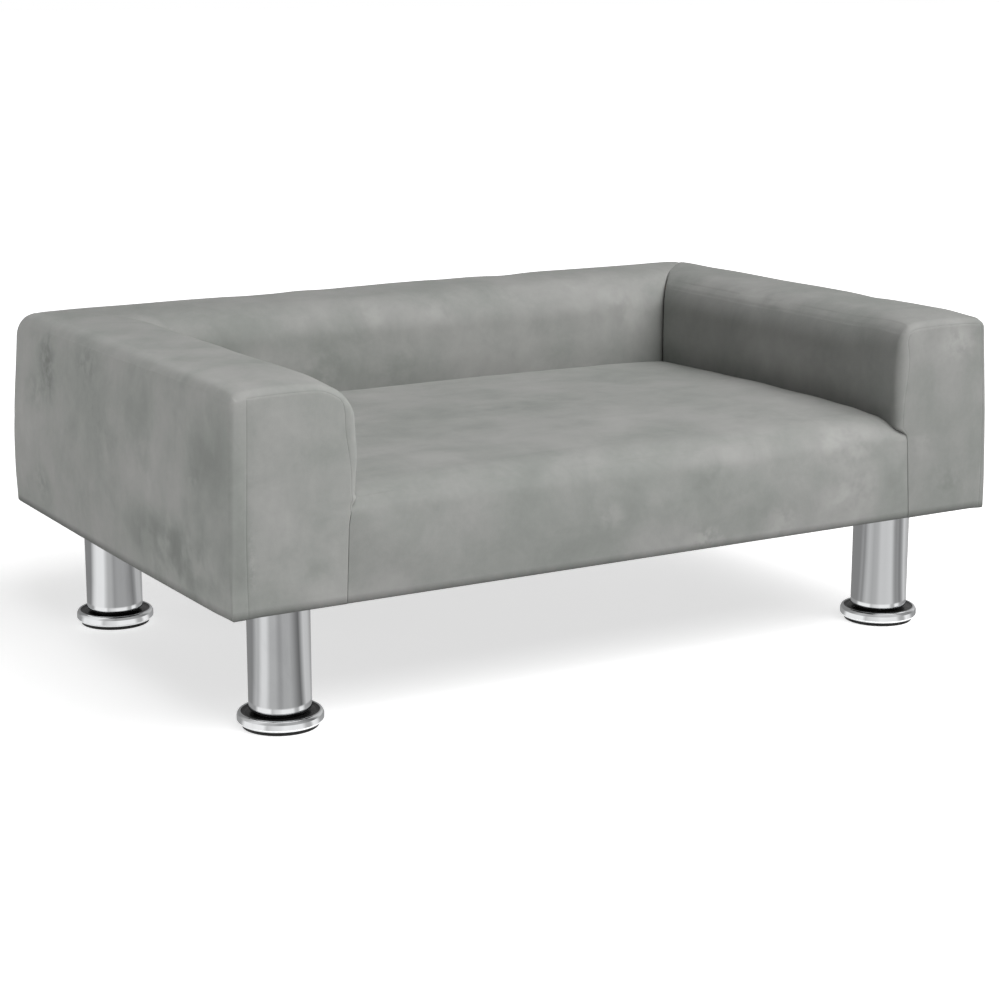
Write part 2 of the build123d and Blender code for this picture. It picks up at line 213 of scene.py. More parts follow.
# %% World
world = bpy.data.worlds.new("white_room")
bpy.context.scene.world = world
world.use_nodes = True
room = world.node_tree
room_light = room.nodes["Background"]
room_light.inputs["Color"].default_value = grey(1.0)
seen = room.nodes.new("ShaderNodeLightPath").outputs
plain_view = calculate(room, "MAXIMUM", seen["Is Camera Ray"], seen["Is Glossy Ray"])
plain_view = calculate(room, "MAXIMUM", plain_view, seen["Is Transmission Ray"])
ROOM_LIGHT = 0.03
strength = calculate(room, "MULTIPLY_ADD", plain_view, 1.0 - ROOM_LIGHT, ROOM_LIGHT)
room.links.new(strength, room_light.inputs["Strength"])
print("even light of the room", ROOM_LIGHT)


# %% Lamps
def soft_lamp(name, place, aim, size, watts):
    """A square area lamp that looks at a point."""
    lamp_data = bpy.data.lights.new(name, "AREA")
    lamp_data.shape = "RECTANGLE"
    lamp_data.size, lamp_data.size_y = size
    lamp_data.energy = watts
    lamp = bpy.data.objects.new(name, lamp_data)
    lamp.location = place
    lamp.rotation_euler = (Vector(aim) - Vector(place)).to_track_quat("-Z", "Y").to_euler()
    lamp.visible_glossy = False
    bpy.context.scene.collection.objects.link(lamp)
    return lamp


soft_lamp("high_right_lamp", (1.3, -1.3, 2.2), (0, 0, 0.2), (2.0, 2.0), 49.0)
soft_lamp("high_front_lamp", (-0.2, -1.6, 2.2), (0, 0, 0.2), (2.0, 2.0), 43.0)
soft_lamp("low_left_lamp", (-3.0, 0.9, 0.15), (0, 0, 0.2), (2.4, 0.3), 35.0)
soft_lamp("low_right_lamp", (3.0, 0.0, 0.15), (0, 0, 0.2), (2.4, 0.3), 14.0)
soft_lamp("low_rear_lamp", (0.9, 3.0, 0.15), (0, 0, 0.2), (2.4, 0.3), 16.0)

# %% Floor
floor_form = bmesh.new()
bmesh.ops.create_grid(floor_form, x_segments=1, y_segments=1, size=30.0)
floor = make_object("floor", floor_form)

floor_paint, tree, shader, place = start_material("floor_paint", Roughness=0.9, Specular_IOR_Level=0.1)
FLOOR_LIFT = 0.68
shader.inputs["Base Color"].default_value = grey(0.8)
shader.inputs["Emission Color"].default_value = grey(1.0)
floor_seen = tree.nodes.new("ShaderNodeLightPath").outputs
lift = calculate(tree, "MAXIMUM", floor_seen["Is Camera Ray"], floor_seen["Is Glossy Ray"])
far = add_node(tree, "ShaderNodeVectorMath", {0: place}, operation="LENGTH").outputs["Value"]
whiter = spread(tree, far, 0.45, 1.3, FLOOR_LIFT, 1.0)
tree.links.new(calculate(tree, "MULTIPLY", lift, whiter), shader.inputs["Emission Strength"])
floor.data.materials.append(floor_paint)

# %% [markdown]
# ## Reflection tents
# Polished chrome shows only what stands around it. From a little above, an upright tube shows the floor
# near its foot, so a studio sets a paper tent round it. Each leg gets one here: an open cone whose paper
# goes from grey through white to dark round the leg, which makes the tube's bands. The paper's lowest
# strip is what the foot's rim shows, and has white panels of its own. Only reflections see the tents.
# The bearings are measured from the camera's side, negative to its left.

# %% Tones of the tents' paper
TENT_COLUMNS = 120
TENT_RINGS = ((35.6, 0.4, "rim"), (41.7, 9.7, "rim"), (42.3, 10.7, "tube"), (100.0, 99.0, "tube"))
RIM_PAPER = (
    (-180, 0.3), (-76, 0.35), (-64, 0.95), (-27, 1.0), (-21, 0.6), (-13, 0.75), (0, 0.85), (6, 0.97),
    (34, 0.95), (41, 0.5), (50, 0.45), (56, 1.0), (66, 0.9), (76, 0.4), (110, 0.3), (180, 0.3),
)
PAPER = {
    "front_left": (
        (-180, 0.25), (-95, 0.25), (-84, 0.4), (-74, 0.52), (-67, 0.48), (-58, 0.68), (-52, 0.77),
        (-40, 0.77), (-27, 0.49), (-12, 0.48), (-1, 0.36), (4, 0.36), (12, 0.44), (30, 0.45),
        (43, 0.33), (54, 0.22), (63, 0.15), (73, 0.38), (84, 0.62), (109, 0.58), (125, 0.42),
        (150, 0.3), (180, 0.25),
    ),
    "front_right": (
        (-180, 0.25), (-75, 0.25), (-64, 0.35), (-56, 0.27), (-48, 0.43), (-38, 0.55), (-29, 0.5),
        (-22, 0.44), (-8, 0.48), (4, 0.64), (20, 0.63), (38, 0.68), (44, 0.6), (50, 0.4), (58, 0.29),
        (66, 0.32), (75, 0.23), (86, 0.35), (99, 0.68), (117, 0.54), (150, 0.4), (180, 0.3),
    ),
    "rear_left": (
        (-180, 0.25), (-90, 0.25), (-80, 0.52), (-72, 0.73), (-60, 0.88), (-36, 0.9), (-28, 0.65),
        (-20, 0.48), (-10, 0.46), (0, 0.33), (11, 0.38), (32, 0.38), (48, 0.32), (63, 0.22),
        (73, 0.31), (84, 0.5), (103, 0.52), (125, 0.35), (180, 0.25),
    ),
}
PAPER["rear_right"] = PAPER["front_left"]


# %% Reflection tents
def tone_at(bearing, stops):
    """The paper's tone at a bearing, in degrees, straight between its stops."""
    for (low, first), (high, second) in zip(stops, stops[1:]):
        if bearing <= high:
            return between(first, second, (bearing - low) / (high - low))
    return stops[-1][1]


# The paper is not lit by the lamps: it glows with its own tones, and only reflections see it
tent_paper, tree, shader, place = start_material("tent_paper", Roughness=1.0, Specular_IOR_Level=0.0)
shader.inputs["Base Color"].default_value = grey(0.0)
shader.inputs["Emission Strength"].default_value = 1.0
printed = add_node(tree, "ShaderNodeAttribute", attribute_name="tone").outputs["Color"]
tree.links.new(printed, shader.inputs["Emission Color"])


def reflection_tent(corner):
    """An open cone round one leg, with its paper's tones kept as a colour on its points."""
    low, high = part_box(f"leg_tube_{corner}")
    centre = Vector(((low.x + high.x) / 2, (low.y + high.y) / 2, 0))
    to_camera = studio_camera.location - centre
    towards = math.atan2(to_camera.y, to_camera.x)
    form = bmesh.new()
    tones = form.verts.layers.float_color.new("tone")
    rings = []
    for radius, height, shown_by in TENT_RINGS:
        stops = RIM_PAPER if shown_by == "rim" else PAPER[corner]
        ring = []
        for column in range(TENT_COLUMNS):
            bearing = -180 + 360 * column / TENT_COLUMNS
            angle = towards + math.radians(bearing)
            point = form.verts.new((radius * math.cos(angle), radius * math.sin(angle), height))
            tone = tone_at(bearing, stops)
            point[tones] = (tone, tone, tone, 1)
            ring.append(point)
        rings.append(ring)
    for lower, upper in zip(rings, rings[1:]):
        for column in range(TENT_COLUMNS):
            after = (column + 1) % TENT_COLUMNS
            form.faces.new((lower[column], lower[after], upper[after], upper[column]))
    bmesh.ops.scale(form, vec=(MM, MM, MM), verts=form.verts)
    bmesh.ops.translate(form, vec=centre, verts=form.verts)
    tent = make_object("tent_" + corner, form)
    tent.data.materials.append(tent_paper)
    tent.visible_camera = tent.visible_diffuse = False
    tent.visible_shadow = tent.visible_transmission = False


for corner in PAPER:
    reflection_tent(corner)
print(len(PAPER), "tents")

# %% [markdown]
# ## Velvet
# Velvet is a cloth of short upright fibres, its nap. Where the nap leans away from the light it looks
# darker and a little greener, where it leans towards it lighter, so the cloth shows soft clouds and the
# marks of hands. At the hem and beside the seat, where the cloth turns under and shade falls, painted shade
# darkens the colour; each padded piece keeps that painted shade as the attribute "fold" on its points. Each
# piece's velvet is also made lighter or darker as a whole, a painted light level for how the lamps fall on
# it. One node group makes the clouds, the strokes of a brush and a fuzzy height. Soft patches at set
# places, darker or lighter and broken up by a noise, are partly marks that the real sofa shows and partly
# painted shade and painted light on the arms' faces.

# %% Nap clouds group
nap, nap_in, nap_out = start_group(
    "nap_clouds",
    [
        ("Place", "Vector", None),
        ("Brush", "Vector", (30, 30, 10)),
        ("Cloud Depth", "Float", 0.3),
        ("Stroke Depth", "Float", 0.2),
    ],
    [("Tone", "Float"), ("Fuzz", "Float")],
)
big_clouds = cloud(nap, nap_in["Place"], 10.0, 2.0, 0.5, 0.3)
small_clouds = cloud(nap, stretched(nap, nap_in["Place"], (1, 1, 1), (3, 7, 1)), 27.0, 4.0, 0.62, 0.4)
strokes = cloud(nap, stretched(nap, nap_in["Place"], nap_in["Brush"]), 1.0, 4.0, 0.6, 0.3)
flecks = cloud(nap, nap_in["Place"], 170.0, 3.0, 0.6)
clouds = calculate(nap, "MULTIPLY", calculate(nap, "SUBTRACT", big_clouds, 0.5), 1.5)
clouds = calculate(nap, "MULTIPLY_ADD", calculate(nap, "SUBTRACT", small_clouds, 0.5), 1.2, clouds)
clouds = calculate(nap, "MULTIPLY_ADD", calculate(nap, "SUBTRACT", flecks, 0.5), 0.3, clouds)
tone = calculate(nap, "MULTIPLY_ADD", clouds, nap_in["Cloud Depth"], 1.0)
strokes = calculate(nap, "SUBTRACT", strokes, 0.5)
tone = calculate(nap, "MULTIPLY_ADD", strokes, nap_in["Stroke Depth"], tone)
nap.links.new(tone, nap_out["Tone"])
fuzz = calculate(nap, "MULTIPLY_ADD", flecks, 0.8, cloud(nap, nap_in["Place"], 1400.0, 2.0, 0.7))
nap.links.new(fuzz, nap_out["Fuzz"])

# %% Patch group, for marks of hands and for painted shade and light
mark_shade_group, mark_shade_in, mark_shade_out = start_group(
    "mark_and_painted_shade_patch",
    [
        ("Place", "Vector", None),
        ("Middle", "Vector", (0, 0, 0)),
        ("Reach", "Vector", (1, 1, 1)),
        ("Grain", "Float", 60.0),
        ("Depth", "Float", 0.1),
    ],
    [("Shade", "Float")],
)
away = mark_shade_in["Place"]
for operation, other in (("SUBTRACT", "Middle"), ("DIVIDE", "Reach")):
    inputs = {0: away, 1: mark_shade_in[other]}
    away = add_node(mark_shade_group, "ShaderNodeVectorMath", inputs, operation=operation).outputs[0]
away = add_node(mark_shade_group, "ShaderNodeVectorMath", {0: away}, operation="LENGTH").outputs["Value"]
within = spread(mark_shade_group, away, 1.0, 0.15)
broken = spread(mark_shade_group, cloud(mark_shade_group, mark_shade_in["Place"], mark_shade_in["Grain"], 3.0, 0.55), 0.36, 0.62)
shade = calculate(mark_shade_group, "MULTIPLY", calculate(mark_shade_group, "MULTIPLY", within, broken), mark_shade_in["Depth"])
mark_shade_group.links.new(shade, mark_shade_out["Shade"])

# %% Marks and patches of painted shade and light on the velvet, in millimetres: middle, reach, grain and depth; a negative depth is lighter
left_arm_marks_and_painted_shade = [
    ((-354, 141, 237), (16, 30, 44), 10.0, 0.16),
    ((-354, 141, 238), (16, 28, 42), 95.0, 0.26),
    ((-354, 128, 216), (16, 10, 24), 60.0, 0.18),
    ((-354, 48, 250), (16, 36, 22), 110.0, 0.16),
    ((-354, 168, 212), (16, 34, 24), 110.0, 0.14),
    ((-354, 157, 135), (16, 24, 20), 110.0, 0.16),
    ((-354, 11, 203), (18, 40, 34), 60.0, 0.1),
    # Painted shade: the next three broad patches darken the outer side towards its front
    ((-354, -194, 190), (30, 62, 120), 5.0, 0.16),
    ((-354, -178, 200), (24, 44, 84), 14.0, 0.16),
    ((-354, -130, 132), (20, 130, 40), 24.0, 0.34),
    ((-344, -226, 150), (14, 12, 110), 9.0, 0.13),
    ((-337, -227, 146), (5, 6, 40), 260.0, -0.14),
    ((-354, -164, 195), (16, 18, 16), 90.0, 0.12),
    ((-354, -69, 193), (18, 60, 40), 40.0, -0.12),
    ((-354, 20, 150), (18, 80, 30), 40.0, 0.08),
    ((-290, -226, 133), (22, 8, 16), 60.0, 0.08),
    ((-300, -226, 122), (60, 10, 34), 8.0, 0.12),
    ((-310, -226, 190), (30, 8, 60), 24.0, -0.05),
]
seat_marks = [
    ((4, -226, 146), (96, 20, 40), 26.0, 0.08),
    ((60, -222, 164), (40, 20, 16), 50.0, 0.12),
    ((204, -224, 174), (50, 30, 32), 34.0, -0.24),
    ((206, -226, 134), (40, 20, 32), 44.0, -0.2),
    ((133, -226, 119), (26, 14, 20), 60.0, -0.17),
    ((-33, -226, 143), (17, 12, 17), 60.0, -0.16),
    ((58, -226, 113), (28, 12, 13), 110.0, -0.2),
    ((-222, -226, 172), (44, 20, 24), 40.0, -0.08),
    ((81, -222, 176), (50, 30, 18), 30.0, -0.1),
    ((13, -34, 194), (120, 60, 20), 34.0, 0.12),
    ((138, -10, 194), (60, 50, 20), 40.0, -0.08),
    ((190, -150, 192), (60, 60, 20), 24.0, -0.08),
    ((-190, 60, 194), (80, 70, 20), 20.0, 0.08),
]
back_marks = [
    ((-61, 120, 258), (26, 30, 22), 50.0, -0.12),
    ((10, 120, 256), (24, 30, 20), 50.0, -0.1),
    ((215, 116, 246), (46, 30, 34), 46.0, -0.16),
    ((-109, 114, 211), (44, 20, 30), 60.0, 0.14),
    ((-34, 114, 210), (34, 20, 24), 60.0, 0.1),
    ((105, 114, 228), (60, 20, 30), 26.0, -0.08),
    ((-215, 114, 230), (50, 20, 40), 26.0, 0.12),
]
right_arm_marks_and_painted_shade = [
    ((272, -19, 264), (26, 66, 20), 30.0, -0.16),
    ((316, -226, 250), (28, 12, 20), 90.0, -0.2),
    ((284, -226, 168), (20, 12, 16), 60.0, -0.1),
    ((309, -226, 132), (34, 12, 24), 60.0, 0.12),
    ((290, -226, 215), (30, 12, 40), 30.0, 0.06),
    # Painted light along the middle of the inner face, then painted shade low in its rear corner, beside
    # the seat and the back
    ((256, 0, 228), (30, 190, 34), 4.0, -0.26),
    ((258, 100, 190), (26, 60, 40), 3.0, 0.5),
]


# %% Velvet material
VELVET_DARK, VELVET_LIGHT = (0.292, 0.304, 0.287), (0.304, 0.305, 0.295)
PAINTED_CREASE_SHADE = 0.5
UPRIGHT_STROKES, LEVEL_STROKES = (34.0, 34.0, 11.0), (9.0, 44.0, 30.0)


def make_velvet(name, shift, marks, painted_light_level, brush):
    """Grey velvet with its own clouds, strokes and marks, painted shade where the cloth turns under, and a
    painted light level over the whole piece.
    """
    material, tree, shader, place = start_material(name, Roughness=0.95)
    shifted = stretched(tree, place, (1, 1, 1), shift)
    made = place_group(tree, nap, {"Place": shifted, "Brush": brush})
    tone = made["Tone"]
    for middle, reach, grain, mark_depth in marks:
        inputs = {
            "Place": place,
            "Middle": [c * MM for c in middle],
            "Reach": [c * MM for c in reach],
            "Grain": grain,
            "Depth": mark_depth,
        }
        tone = calculate(tree, "SUBTRACT", tone, place_group(tree, mark_shade_group, inputs)["Shade"])
    hue = mix_colours(tree, spread(tree, tone, 0.86, 1.08), (*VELVET_DARK, 1), (*VELVET_LIGHT, 1))
    # Painted shade where the cloth turns under, read from the points, times the piece's painted light level
    painted_shade_mask = add_node(tree, "ShaderNodeAttribute", attribute_name="fold").outputs["Fac"]
    painted_shading = calculate(tree, "MULTIPLY_ADD", painted_shade_mask, -PAINTED_CREASE_SHADE * painted_light_level, painted_light_level)
    tone = calculate(tree, "MULTIPLY", tone, painted_shading)
    toned = add_node(tree, "ShaderNodeVectorMath", {0: hue, 3: tone}, operation="SCALE").outputs[0]
    tree.links.new(toned, shader.inputs["Base Color"])
    shader.inputs["Sheen Weight"].default_value = 0.18
    shader.inputs["Sheen Roughness"].default_value = 0.45
    shader.inputs["Sheen Tint"].default_value = (0.93, 0.95, 0.93, 1)
    shader.inputs["Specular IOR Level"].default_value = 0.15
    bump_from(tree, shader, made["Fuzz"], 0.25 * MM, 0.5)
    return material


# The four cuts are one velvet; the number after each list of marks is a painted light level, lighter for
# the left arm and the back, darker for the right arm, for how the lamps fall on each piece
velvets = {
    "left_arm": make_velvet("velvet_left_arm", (0.31, 0.12, 0.4), left_arm_marks_and_painted_shade, 1.14, UPRIGHT_STROKES),
    "right_arm": make_velvet("velvet_right_arm", (1.7, 0.45, 2.2), right_arm_marks_and_painted_shade, 0.97, UPRIGHT_STROKES),
    "back": make_velvet("velvet_back", (4.2, 1.3, 0.7), back_marks, 1.07, UPRIGHT_STROKES),
    "seat": make_velvet("velvet_seat", (2.6, 3.1, 1.9), seat_marks, 1.045, LEVEL_STROKES),
}
print(len(velvets), "cuts of velvet")

# %% [markdown]
# ## Padded walls
# Each arm and the back is a box of boards with foam on it and velvet pulled over, so it is boxy outside,
# with a small round along its outer edge, a large soft round along its inner edge, and faces that swell
# between their seams. It starts as a cube, cut by planes into rows that lie closer beside the seams.
# Then its corners are rolled round and its faces are swelled, as the padding does.

# %% Sizes of the walls, in millimetres
OUTER_X, FRONT_Y, REAR_Y = 350.0, -225.0, 225.0
HEM_Z, TOP_Z = 105.1, 268.5
ARM_WIDTH, BACK_WIDTH = 88.0, 98.0
INNER_ROUND = (29.0, 28.0)
EDGE_ROUND, FRONT_ROUND, HEM_ROUND, SEAM_ROUND = 3.6, 6.5, 1.6, 0.5
OUTER_FULL_Z, CREASE_Z, SWELL_FOOT_Z, FULLEST_Z, SHOULDER_Z = 135.0, 176.0, 182.5, 214.0, 241.5
SWELL_UP = ((CREASE_Z, 0.0), (SWELL_FOOT_Z, 0.84), (FULLEST_Z, 1.0), (SHOULDER_Z, 0.88), (TOP_Z, 0.74))
LEAN_FROM_Z, LEAN_TO_Z, TOP_CROWN, TOP_PADDING_Z = 150.0, 290.0, 1.8, 215.0
OUTER_SWELL, GROOVE_DEPTH = 4.0, 0.9
TOP_LEAN = {"left": (3.4, 6.0), "right": (7.4, 6.0), "back": (4.5, 6.0)}
FRONT_ROUNDING = {"left": INNER_ROUND, "right": (14.0, 15.0)}
CORNER_ROUND, CORNER_DEPTH, ARM_MITRE_SHARE, BACK_MITRE_SHARE = 8.0, 34.0, 0.743, 0.669
TOP_RISE, HEM_DRAW = (1.0, 2.6), 0.6
OUTER_ROUND, SOFT_OUTER_ROUND = 9.0, (15.0, 26.0)
FRONT_SAG, SAG_TILT, SAG_LOST_INWARDS, SIDE_SAG = 1.85, 1 / 900, 0.7, (2.1, 3.0)
GROOVE_SHARES = ((0.0, 1.0), (1.0, 0.6), (3.0, 0.25), (8.0, 0.0))
SEAM_ROWS, HEM_ROWS = (0.5, 1.0, 2.2, 4.2, 6.8), (0.4, 0.9, 1.6)


# %% Rows and blocks
def rows(start, end, pitch, close_start=(), close_end=()):
    """Places of rows: even ones, and closer ones at set distances from either end."""
    first = start + (close_start[-1] if close_start else 0)
    last = end - (close_end[-1] if close_end else 0)
    count = max(1, round((last - first) / pitch))
    places = [start + step for step in close_start] + [end - step for step in close_end]
    places += [first + (last - first) * i / count for i in range(count + 1)]
    return sorted({round(p, 4) for p in places if start + 0.01 < p < end - 0.01})


def cut_block(low, high, cuts):
    """A cube scaled to a block, in millimetres, and cut by planes across each axis."""
    form = bmesh.new()
    bmesh.ops.create_cube(form, size=1.0)
    low, high = Vector(low), Vector(high)
    bmesh.ops.scale(form, vec=high - low, verts=form.verts)
    bmesh.ops.translate(form, vec=(low + high) / 2, verts=form.verts)
    for axis, places in enumerate(cuts):
        normal, point = Vector((0, 0, 0)), Vector((0, 0, 0))
        normal[axis] = 1
        for place in places:
            point[axis] = place
            geometry = form.verts[:] + form.edges[:] + form.faces[:]
            bmesh.ops.bisect_plane(form, geom=geometry, dist=0.001, plane_co=point, plane_no=normal)
    return form


# %% Rolling corners round
def rolled(first, second):
    """Two depths into a square corner, each 0 to 1, turned into depths into a round one."""
    reach = math.hypot(first, second)
    if first <= 0 or second <= 0 or reach == 0:
        return first, second
    share = max(first, second) / reach
    return first * share, second * share


def roll_corner(across, up, corner_across, corner_up, across_sign, radius):
    """Rolls a point of the section round one corner of the block."""
    in_across = 1 - (corner_across - across) * across_sign / radius[0]
    in_up = 1 - (corner_up - up) / radius[1]
    if in_across <= 0 or in_up <= 0:
        return across, up
    new_across, new_up = rolled(in_across, in_up)
    across = corner_across - across_sign * radius[0] * (1 - new_across)
    return across, corner_up - radius[1] * (1 - new_up)


def hem_draw(up):
    """How far the velvet draws in where it turns under at the hem."""
    hem_in = max(0.0, 1 - (up - HEM_Z) / HEM_ROUND)
    return HEM_DRAW * HEM_ROUND * hem_in**2


def wall_section(across, up, width, swell, lean_in, softness, inner_round):
    """Places a point of a wall's section; across runs from the outer face (0) to the inner face (width).

    lean_in is how far the outer face leans in towards its top. softness makes the outer top edge
    rounder: 0 at the arm's front and 1 at the rear corners.
    """
    shares = zip(SOFT_OUTER_ROUND, (softness, softness**2))
    outer_round = [between(OUTER_ROUND, softer, share) for softer, share in shares]
    share_in = clamped((across - outer_round[0]) / (width - outer_round[0]))
    share_out = clamped(1 - across / (width * 0.6))
    across, up = roll_corner(across, up, 0, TOP_Z, -1, outer_round)
    across, up = roll_corner(across, up, width, TOP_Z, 1, inner_round)
    inner = along(up, SWELL_UP)
    bow = OUTER_SWELL * between(0.85, 1.0, ease(up, HEM_Z, OUTER_FULL_Z))
    bow -= lean_in * ease(up, LEAN_FROM_Z, LEAN_TO_Z)
    crown = TOP_CROWN * math.sin(math.pi * clamped(across / width)) * ease(up, TOP_Z - 30, TOP_Z)
    across += swell * inner * share_in - (bow - hem_draw(up)) * share_out
    return across, up + crown


def top_rise(x):
    """How much higher than the boards' padding the top stands, more towards the right arm."""
    return between(*TOP_RISE, ease(x, ARM_WIDTH - OUTER_X, OUTER_X - ARM_WIDTH))


def hem_sag(x, y, side="front"):
    """How far the hem hangs below its staples: a little along the front, more along the left side."""
    corner = OUTER_X - abs(x)
    front = FRONT_SAG - SAG_TILT * x - SAG_LOST_INWARDS * ease(corner, 0.0, 10.0)
    front *= 1 - ease(y, FRONT_Y + 6, FRONT_Y + 30)
    if side != "left":
        return front
    outer = between(*SIDE_SAG, ease(y, FRONT_Y, FRONT_Y + 35)) * (1 - ease(y, -60.0, 185.0))
    return max(front, outer * (1 - ease(corner, 6.0, 30.0)))


def round_rear_corner(across, slanted, left, mitre_share, slope):
    """Rounds the sofa's upright rear corner, on either side of its mitre seam.

    left is the distance left to the seam, mitre_share the share of the corner's radius that lies on
    this side of it, and slope how fast the seam runs along the wall as it runs across it.
    """
    reach = CORNER_ROUND * mitre_share
    if left >= reach:
        return across, slanted
    sine = (reach - left) / CORNER_ROUND
    pull = CORNER_ROUND * (1 - math.sqrt(max(0.0, 1 - sine * sine)))
    pull *= max(0.0, 1 - (across + OUTER_SWELL) / CORNER_DEPTH)
    return across + pull, slanted - pull * slope


def seam_groove(left):
    """How deep the velvet dips beside a mitre seam, at a distance from it."""
    return along(max(0.0, left), GROOVE_SHARES)


# %% [markdown]
# ## Arms
# The arm's front is a sewn panel: its seam runs in from the outer edge, just below the top edge and
# down the inner edge. The strip of velvet outside the seam rolls round the corner. Below the seat's top
# the panel meets the seat. At the back the arm ends in a mitre seam, and the rows turn gradually towards
# that slant, so no cell gets thin. The two arms were sewn by hand, so their seams are not quite alike.

# %% Arm form
ARM_SWELL, FRONT_TOP_DROP = 13.0, 2.4
ARM_FULLNESS = {
    "left": ((0.0, 0.95), (0.1, 0.97), (0.5, 1.0), (0.82, 0.8), (1.0, 0.46)),
    "right": ((0.0, 0.62), (0.2, 0.82), (0.5, 1.0), (0.82, 0.78), (1.0, 0.42)),
}
MITRE_SLOPE = BACK_WIDTH / ARM_WIDTH
MITRE_Y = REAR_Y - BACK_WIDTH
ARM_SOFTNESS = ((0.0, 0.0), (0.6, 0.55), (1.0, 1.0))
PANEL_OUTER, PANEL_INNER, PANEL_TOP = {"left": 12.0, "right": 5.0}, 9.0, 4.8
PANEL_STEP, FINE_TO_Z = 172.0, 186.0
SEAM_DIP = ((0.0, 0.4), (0.5, 0.26), (1.2, 0.14), (3.5, 0.06), (9.0, 0.0))
SEAT_SEAM = {"left": (3.0, -3.0, 2.6), "right": (-3.6, -4.6, 0.6)}
SEAT_SEAM_LEANS, SEAT_SEAM_TURNS = (HEM_Z - 20, 182.0), (160.0, 180.0)
STRIP_SHARES = ((175.5, 0.1), (182.0, 0.5), (236.0, 1.0), (240.0, 1.0), (262.0, 0.58))
FOLD_START, FOLD_RUN, FOLD_HEIGHT, FOLD_REACH = Vector((26.6, 130.5)), Vector((38.2, -16.4)), 0.55, 7.0


def mitre_y(across):
    """Where the mitre plane stands at a distance in from the sofa's outer face."""
    return REAR_Y - across * MITRE_SLOPE


def seat_seam(up, side):
    """How far the seam between an arm and the seat stands from its nominal place, at a height."""
    at_seat, more_below, turned_out = SEAT_SEAM[side]
    leaning = more_below * (1 - ease(up, *SEAT_SEAM_LEANS))
    return at_seat + leaning + turned_out * ease(up, *SEAT_SEAM_TURNS)


def panel_seam_distance(across, up, side):
    """Distance from the panel's seam on the front face, in the block before it is rolled."""
    to_inner = ARM_WIDTH - across + (0.5 if up <= PANEL_STEP else -PANEL_INNER)
    return min(across - PANEL_OUTER[side], TOP_Z - PANEL_TOP - up, to_inner)


def taper_strip(across, y, up):
    """Moves the panel's inner seam to the arm's edge where the strip narrows: to a sliver at the seat."""
    narrowed = (1 - along(up, STRIP_SHARES)) * (1 - ease(y, FRONT_Y, FRONT_Y + 14))
    seam = ARM_WIDTH - PANEL_INNER
    if across > seam:
        return across + (ARM_WIDTH - across) * narrowed
    return across + PANEL_INNER * narrowed * ease(across, 30.0, seam)


def roll_front(across, y, up):
    """Rolls the edges of the arm's front face: tight outside and beside the seat, softer elsewhere."""
    inner_radius = between(SEAM_ROUND, FRONT_ROUND, ease(up, CREASE_Z, CREASE_Z + 9))
    outer_radius = EDGE_ROUND * between(0.2, 1.0, ease(up, HEM_Z, HEM_Z + 60))
    outer = max(0.0, 1 - across / EDGE_ROUND)
    inner = max(0.0, 1 - (ARM_WIDTH - across) / inner_radius)
    top = max(0.0, 1 - (TOP_Z - up) / FRONT_ROUND)
    hem = max(0.0, 1 - (up - HEM_Z) / HEM_ROUND)
    depth_in, behind = max(outer, inner, top, hem), 1 - (y - FRONT_Y) / FRONT_ROUND
    if depth_in <= 0 or behind <= 0:
        return across, y, up
    radii = ((outer, outer_radius), (inner, inner_radius), (top, FRONT_ROUND), (hem, HEM_ROUND))
    radius = sum(w * r for w, r in radii) / sum(w for w, r in radii)
    new_in, new_behind = rolled(depth_in, behind)
    factor = new_in / depth_in
    if outer > 0:
        across = outer_radius * (1 - outer * factor)
    if inner > 0:
        across = ARM_WIDTH - inner_radius * (1 - inner * factor)
    if top > 0:
        up = TOP_Z - FRONT_ROUND * (1 - top * factor)
    return across, FRONT_Y + radius * (1 - new_behind), up


def pull_fold(across, up):
    """A faint slanting fold low in the left panel, where the velvet was pulled to its staples."""
    from_start = Vector((across, up)) - FOLD_START
    share = clamped(from_start.dot(FOLD_RUN) / FOLD_RUN.length_squared)
    away = (from_start - FOLD_RUN * share).length
    rising = math.sin(math.pi * between(0.12, 0.88, share))
    return FOLD_HEIGHT * (1 - ease(away, 0.0, FOLD_REACH)) * rising


